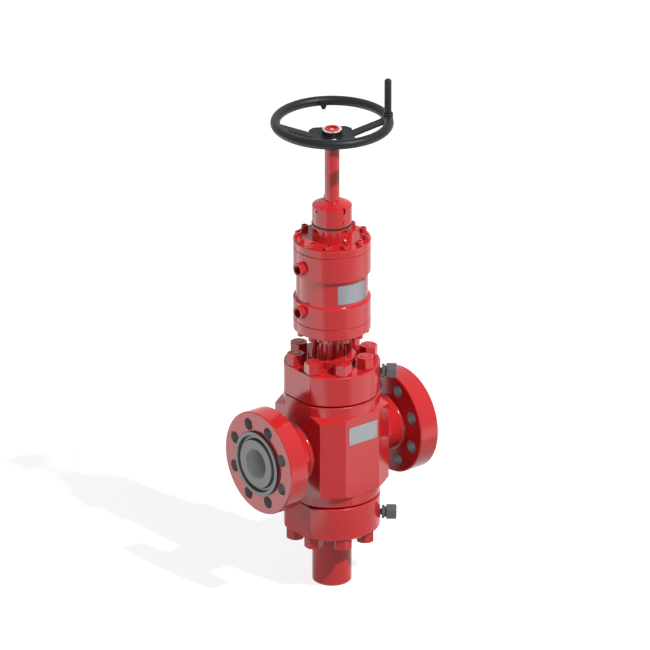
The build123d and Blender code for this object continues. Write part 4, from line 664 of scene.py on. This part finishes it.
# Override housing and cap
# Housing on the upper head, slotted lock ring, black rubber ring, and the cap that is screwed over the
# thrust bearings and kept by a set screw. Two small nipples vent and grease it.
for node in ("override_housing", "lock_ring", "override_cap", "cap_set_screw"):
    piece = made(from_solid(node), node + "_red", red_enamel)
    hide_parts(node)
    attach(piece, "valve")
ring = made(from_solid("cap_seal_ring"), "cap_seal_ring_rubber", black_rubber)
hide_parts("cap_seal_ring")
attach(ring, "valve")
bright_plate = bare_metal("bright_plate", light=(0.72, 0.70, 0.66), dark=(0.62, 0.60, 0.56), roughness=0.28)
nipples = made(from_solid("grease_nipples"), "grease_nipple_tips", bright_plate)
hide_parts("grease_nipples")
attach(nipples, "valve")
bearing_bronze = bare_metal(
    "bearing_bronze", light=(0.52, 0.32, 0.13), dark=(0.43, 0.26, 0.10), roughness=0.35, lathe_axis="Z",
)
dress("thrust_cages", bearing_bronze)
for node in ("thrust_washers", "collar_washers"):
    dress(node, polished_steel)
dress("rod_wiper", black_rubber)


# Override rod
# Steel rod that turns with the wheel and moves neither up nor down. Its outer length is sprayed red, all
# but the lathe centre, which sits in a recess of its upper end.
ROD_TOP = 0.851
ROD_TOP_SLACK = 1e-5
CENTRE_RADIUS = 0.0031
CENTRE_BOTTOM = 0.83
ROD_LIP = 0.0045
RECESS_SLOPE = 0.0006
RECESS_DEPTH = 0.0045
COUNTERSINK_RADIUS = 0.0048
COUNTERSINK_DEPTH = 0.0032
COUNTERSINK_TAPER = 0.8


def in_rod_end(place):
    """True on the rod's flat top and in its plain lathe centre."""
    in_centre = place.z > CENTRE_BOTTOM and place.xy.length < CENTRE_RADIUS
    return in_centre or place.z > ROD_TOP - ROD_TOP_SLACK


rod_mesh = from_solid("override_rod")
plain_end = [face for face in rod_mesh.faces if in_rod_end(face.calc_center_median())]
bmesh.ops.delete(rod_mesh, geom=plain_end, context="FACES")
open_edges = [edge for edge in rod_mesh.edges if edge.is_boundary]
end = bmesh.ops.edgeloop_fill(rod_mesh, edges=open_edges)["faces"][0]
if end.normal.z < 0:
    end.normal_flip()
bmesh.ops.inset_region(rod_mesh, faces=[end], thickness=ROD_LIP, use_even_offset=True)
bmesh.ops.inset_region(
    rod_mesh, faces=[end], thickness=RECESS_SLOPE, depth=-RECESS_DEPTH, use_even_offset=True,
)
recess_floor = max(vert.co.xy.length for vert in end.verts)
bmesh.ops.inset_region(
    rod_mesh, faces=[end], thickness=recess_floor - COUNTERSINK_RADIUS, use_even_offset=True,
)
countersink = bmesh.ops.inset_region(
    rod_mesh, faces=[end], thickness=COUNTERSINK_TAPER * COUNTERSINK_RADIUS, depth=-COUNTERSINK_DEPTH,
    use_even_offset=True,
)["faces"]
for face in (end, *countersink):
    face.material_index = 1
rod = made(rod_mesh, "override_rod_red", red_enamel, bright_plate)
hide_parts("override_rod")
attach(rod, "wheel")


# Handwheel
# Turned hub, a plate with three dished arms and a rim of round bar, welded together and powder coated
# black. A flat bright retaining ring in the rod's groove holds it down.
SPOKE_ANGLES = (-25.5, 144.7, -120.4)
SPOKE_HALF_ANGLE = 5.9
BEADS = ((0.1308, 0.8592), (0.1362, 0.8532))
HUB_BEADS = ((0.0258, 0.8329), (0.0322, 0.8251))
BEAD_RADIUS = 0.0022
BEAD_SIDES = 8
SPOKE_BEAD_STEPS = 14
HUB_BEAD_STEPS = 96
BEAD_RIPPLE = 0.00025
BEAD_RIPPLE_SCALE = 500

black_powder = coated(
    "black_powder_coat", thick=(0.011, 0.011, 0.0115), thin=(0.009, 0.009, 0.0095), roughness=0.42,
    specular=0.22, peel=1500.0, depth=0.00004,
)
for node in ("wheel_hub", "wheel_spider", "wheel_rim"):
    piece = made(from_solid(node), node + "_coated", black_powder)
    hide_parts(node)
    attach(piece, "wheel")


def weld_bead(mesh, radius, height, middle, half_angle):
    """Weld bead about the wheel's axis, half buried in the corner that it fills; its ripple is added
    afterwards.
    """
    closed = half_angle >= 180
    ring = bmesh.ops.create_circle(
        mesh, cap_ends=not closed, segments=BEAD_SIDES, radius=BEAD_RADIUS,
    )["verts"]
    upright = Matrix.Rotation(radians(middle if closed else middle - half_angle), 4, "Z")
    upright = upright @ Matrix.Translation((radius, 0, height)) @ Matrix.Rotation(radians(90), 4, "X")
    bmesh.ops.transform(mesh, matrix=upright, verts=ring)
    geom = list({part for vert in ring for part in (vert, *vert.link_edges, *vert.link_faces)})
    bmesh.ops.spin(
        mesh, geom=geom, cent=(0, 0, 0), axis=(0, 0, 1), angle=tau if closed else radians(2 * half_angle),
        steps=HUB_BEAD_STEPS if closed else SPOKE_BEAD_STEPS, use_merge=closed,
    )


beads = bmesh.new()
for angle in SPOKE_ANGLES:
    for radius, height in BEADS:
        weld_bead(beads, radius, height, angle, SPOKE_HALF_ANGLE)
for radius, height in HUB_BEADS:
    weld_bead(beads, radius, height, middle=0, half_angle=180)
bmesh.ops.remove_doubles(beads, verts=beads.verts, dist=SEAM_DISTANCE)
bmesh.ops.recalc_face_normals(beads, faces=beads.faces)
for vert in beads.verts:
    vert.co += BEAD_RIPPLE * vert.normal * noise.noise(vert.co * BEAD_RIPPLE_SCALE)
welds = made(beads, "wheel_weld_beads", black_powder)
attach(welds, "wheel")
dress("wheel_key", lapped_steel)


# Wheel lock screw
# Zinc plated screw with a domed head in the hub plate's hole, which keeps the plate on the hub.
LOCK_SCREW_ANGLE = radians(-120.4)
LOCK_SCREW_PLACE = 0.033
LOCK_SCREW_SHANK = 0.0049
LOCK_SCREW_HEAD = 0.0062
LOCK_SCREW_END = 0.8256
LOCK_SCREW_SEAT = 0.8325
LOCK_SCREW_DOME = ((0.0062, 0.8329), (0.0055, 0.8335), (0.0044, 0.8340), (0.0026, 0.8343), (0, 0.8344))

bright_zinc = bare_metal("bright_zinc", light=(0.93, 0.93, 0.92), dark=(0.86, 0.86, 0.85), roughness=0.3)
screw = bmesh.new()
turned_bar(screw, [
    (0, LOCK_SCREW_END), (LOCK_SCREW_SHANK, LOCK_SCREW_END), (LOCK_SCREW_SHANK, LOCK_SCREW_SEAT),
    (LOCK_SCREW_HEAD, LOCK_SCREW_SEAT), *LOCK_SCREW_DOME,
], steps=24)
bmesh.ops.translate(screw, vec=(LOCK_SCREW_PLACE, 0, 0), verts=screw.verts)
bmesh.ops.rotate(screw, cent=(0, 0, 0), matrix=Matrix.Rotation(LOCK_SCREW_ANGLE, 3, "Z"), verts=screw.verts)
lock_screw = made(screw, "wheel_lock_screw", bright_zinc)
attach(lock_screw, "wheel")


# Retaining ring
# Flat zinc plated ring of spring steel, open by a small gap, that is snapped into the rod's groove on top
# of the hub.
CLIP_INNER = 0.01745
CLIP_OUTER = 0.0245
CLIP_HEIGHTS = (0.8461, 0.8484)
CLIP_GAP = radians(14)
CLIP_MIDDLE = radians(150)
CLIP_STEPS = 72

clip = bmesh.new()
low, high = CLIP_HEIGHTS
section = [(CLIP_INNER, low), (CLIP_OUTER, low), (CLIP_OUTER, high), (CLIP_INNER, high)]
flat = clip.faces.new([clip.verts.new((radius, 0, height)) for radius, height in section])
bmesh.ops.spin(clip, geom=[flat], cent=(0, 0, 0), axis=(0, 0, 1), angle=tau - CLIP_GAP, steps=CLIP_STEPS)
gap_end = Matrix.Rotation(CLIP_MIDDLE + CLIP_GAP / 2, 3, "Z")
bmesh.ops.rotate(clip, cent=(0, 0, 0), matrix=gap_end, verts=clip.verts)
bmesh.ops.recalc_face_normals(clip, faces=clip.faces)
circlip = made(clip, "retaining_ring_clip", bright_zinc)
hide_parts("retaining_ring")
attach(circlip, "wheel")


# Handle
# Moulded black sleeve with a domed end that turns on a steel bolt, which is held under the rim by its nut.
black_plastic = coated(
    "black_plastic", thick=(0.011, 0.011, 0.012), thin=(0.009, 0.009, 0.010), roughness=0.36, specular=0.24,
    peel=900.0, depth=0.00002,
)
grip = made(from_solid("handle_grip"), "handle_grip_moulding", black_plastic)
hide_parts("handle_grip")
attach(grip, "handle")
dress("handle_spindle", phosphated_steel)


# Plates
# Two blank aluminium plates with rounded corners, brushed lengthwise, one on the body's front face and
# one bent round the barrel's waist. A domed drive screw holds each corner.
brushed_plate = bare_metal(
    "brushed_plate", light=(0.235, 0.238, 0.248), dark=(0.205, 0.208, 0.218), roughness=0.42,
    stretch=(0.05, 0.05, 1), scale=1800, depth=0.00001,
)
for node in ("body_plate", "barrel_plate", "plate_screws"):
    piece = made(from_solid(node), node + "_metal", brushed_plate)
    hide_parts(node)
    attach(piece, "valve")
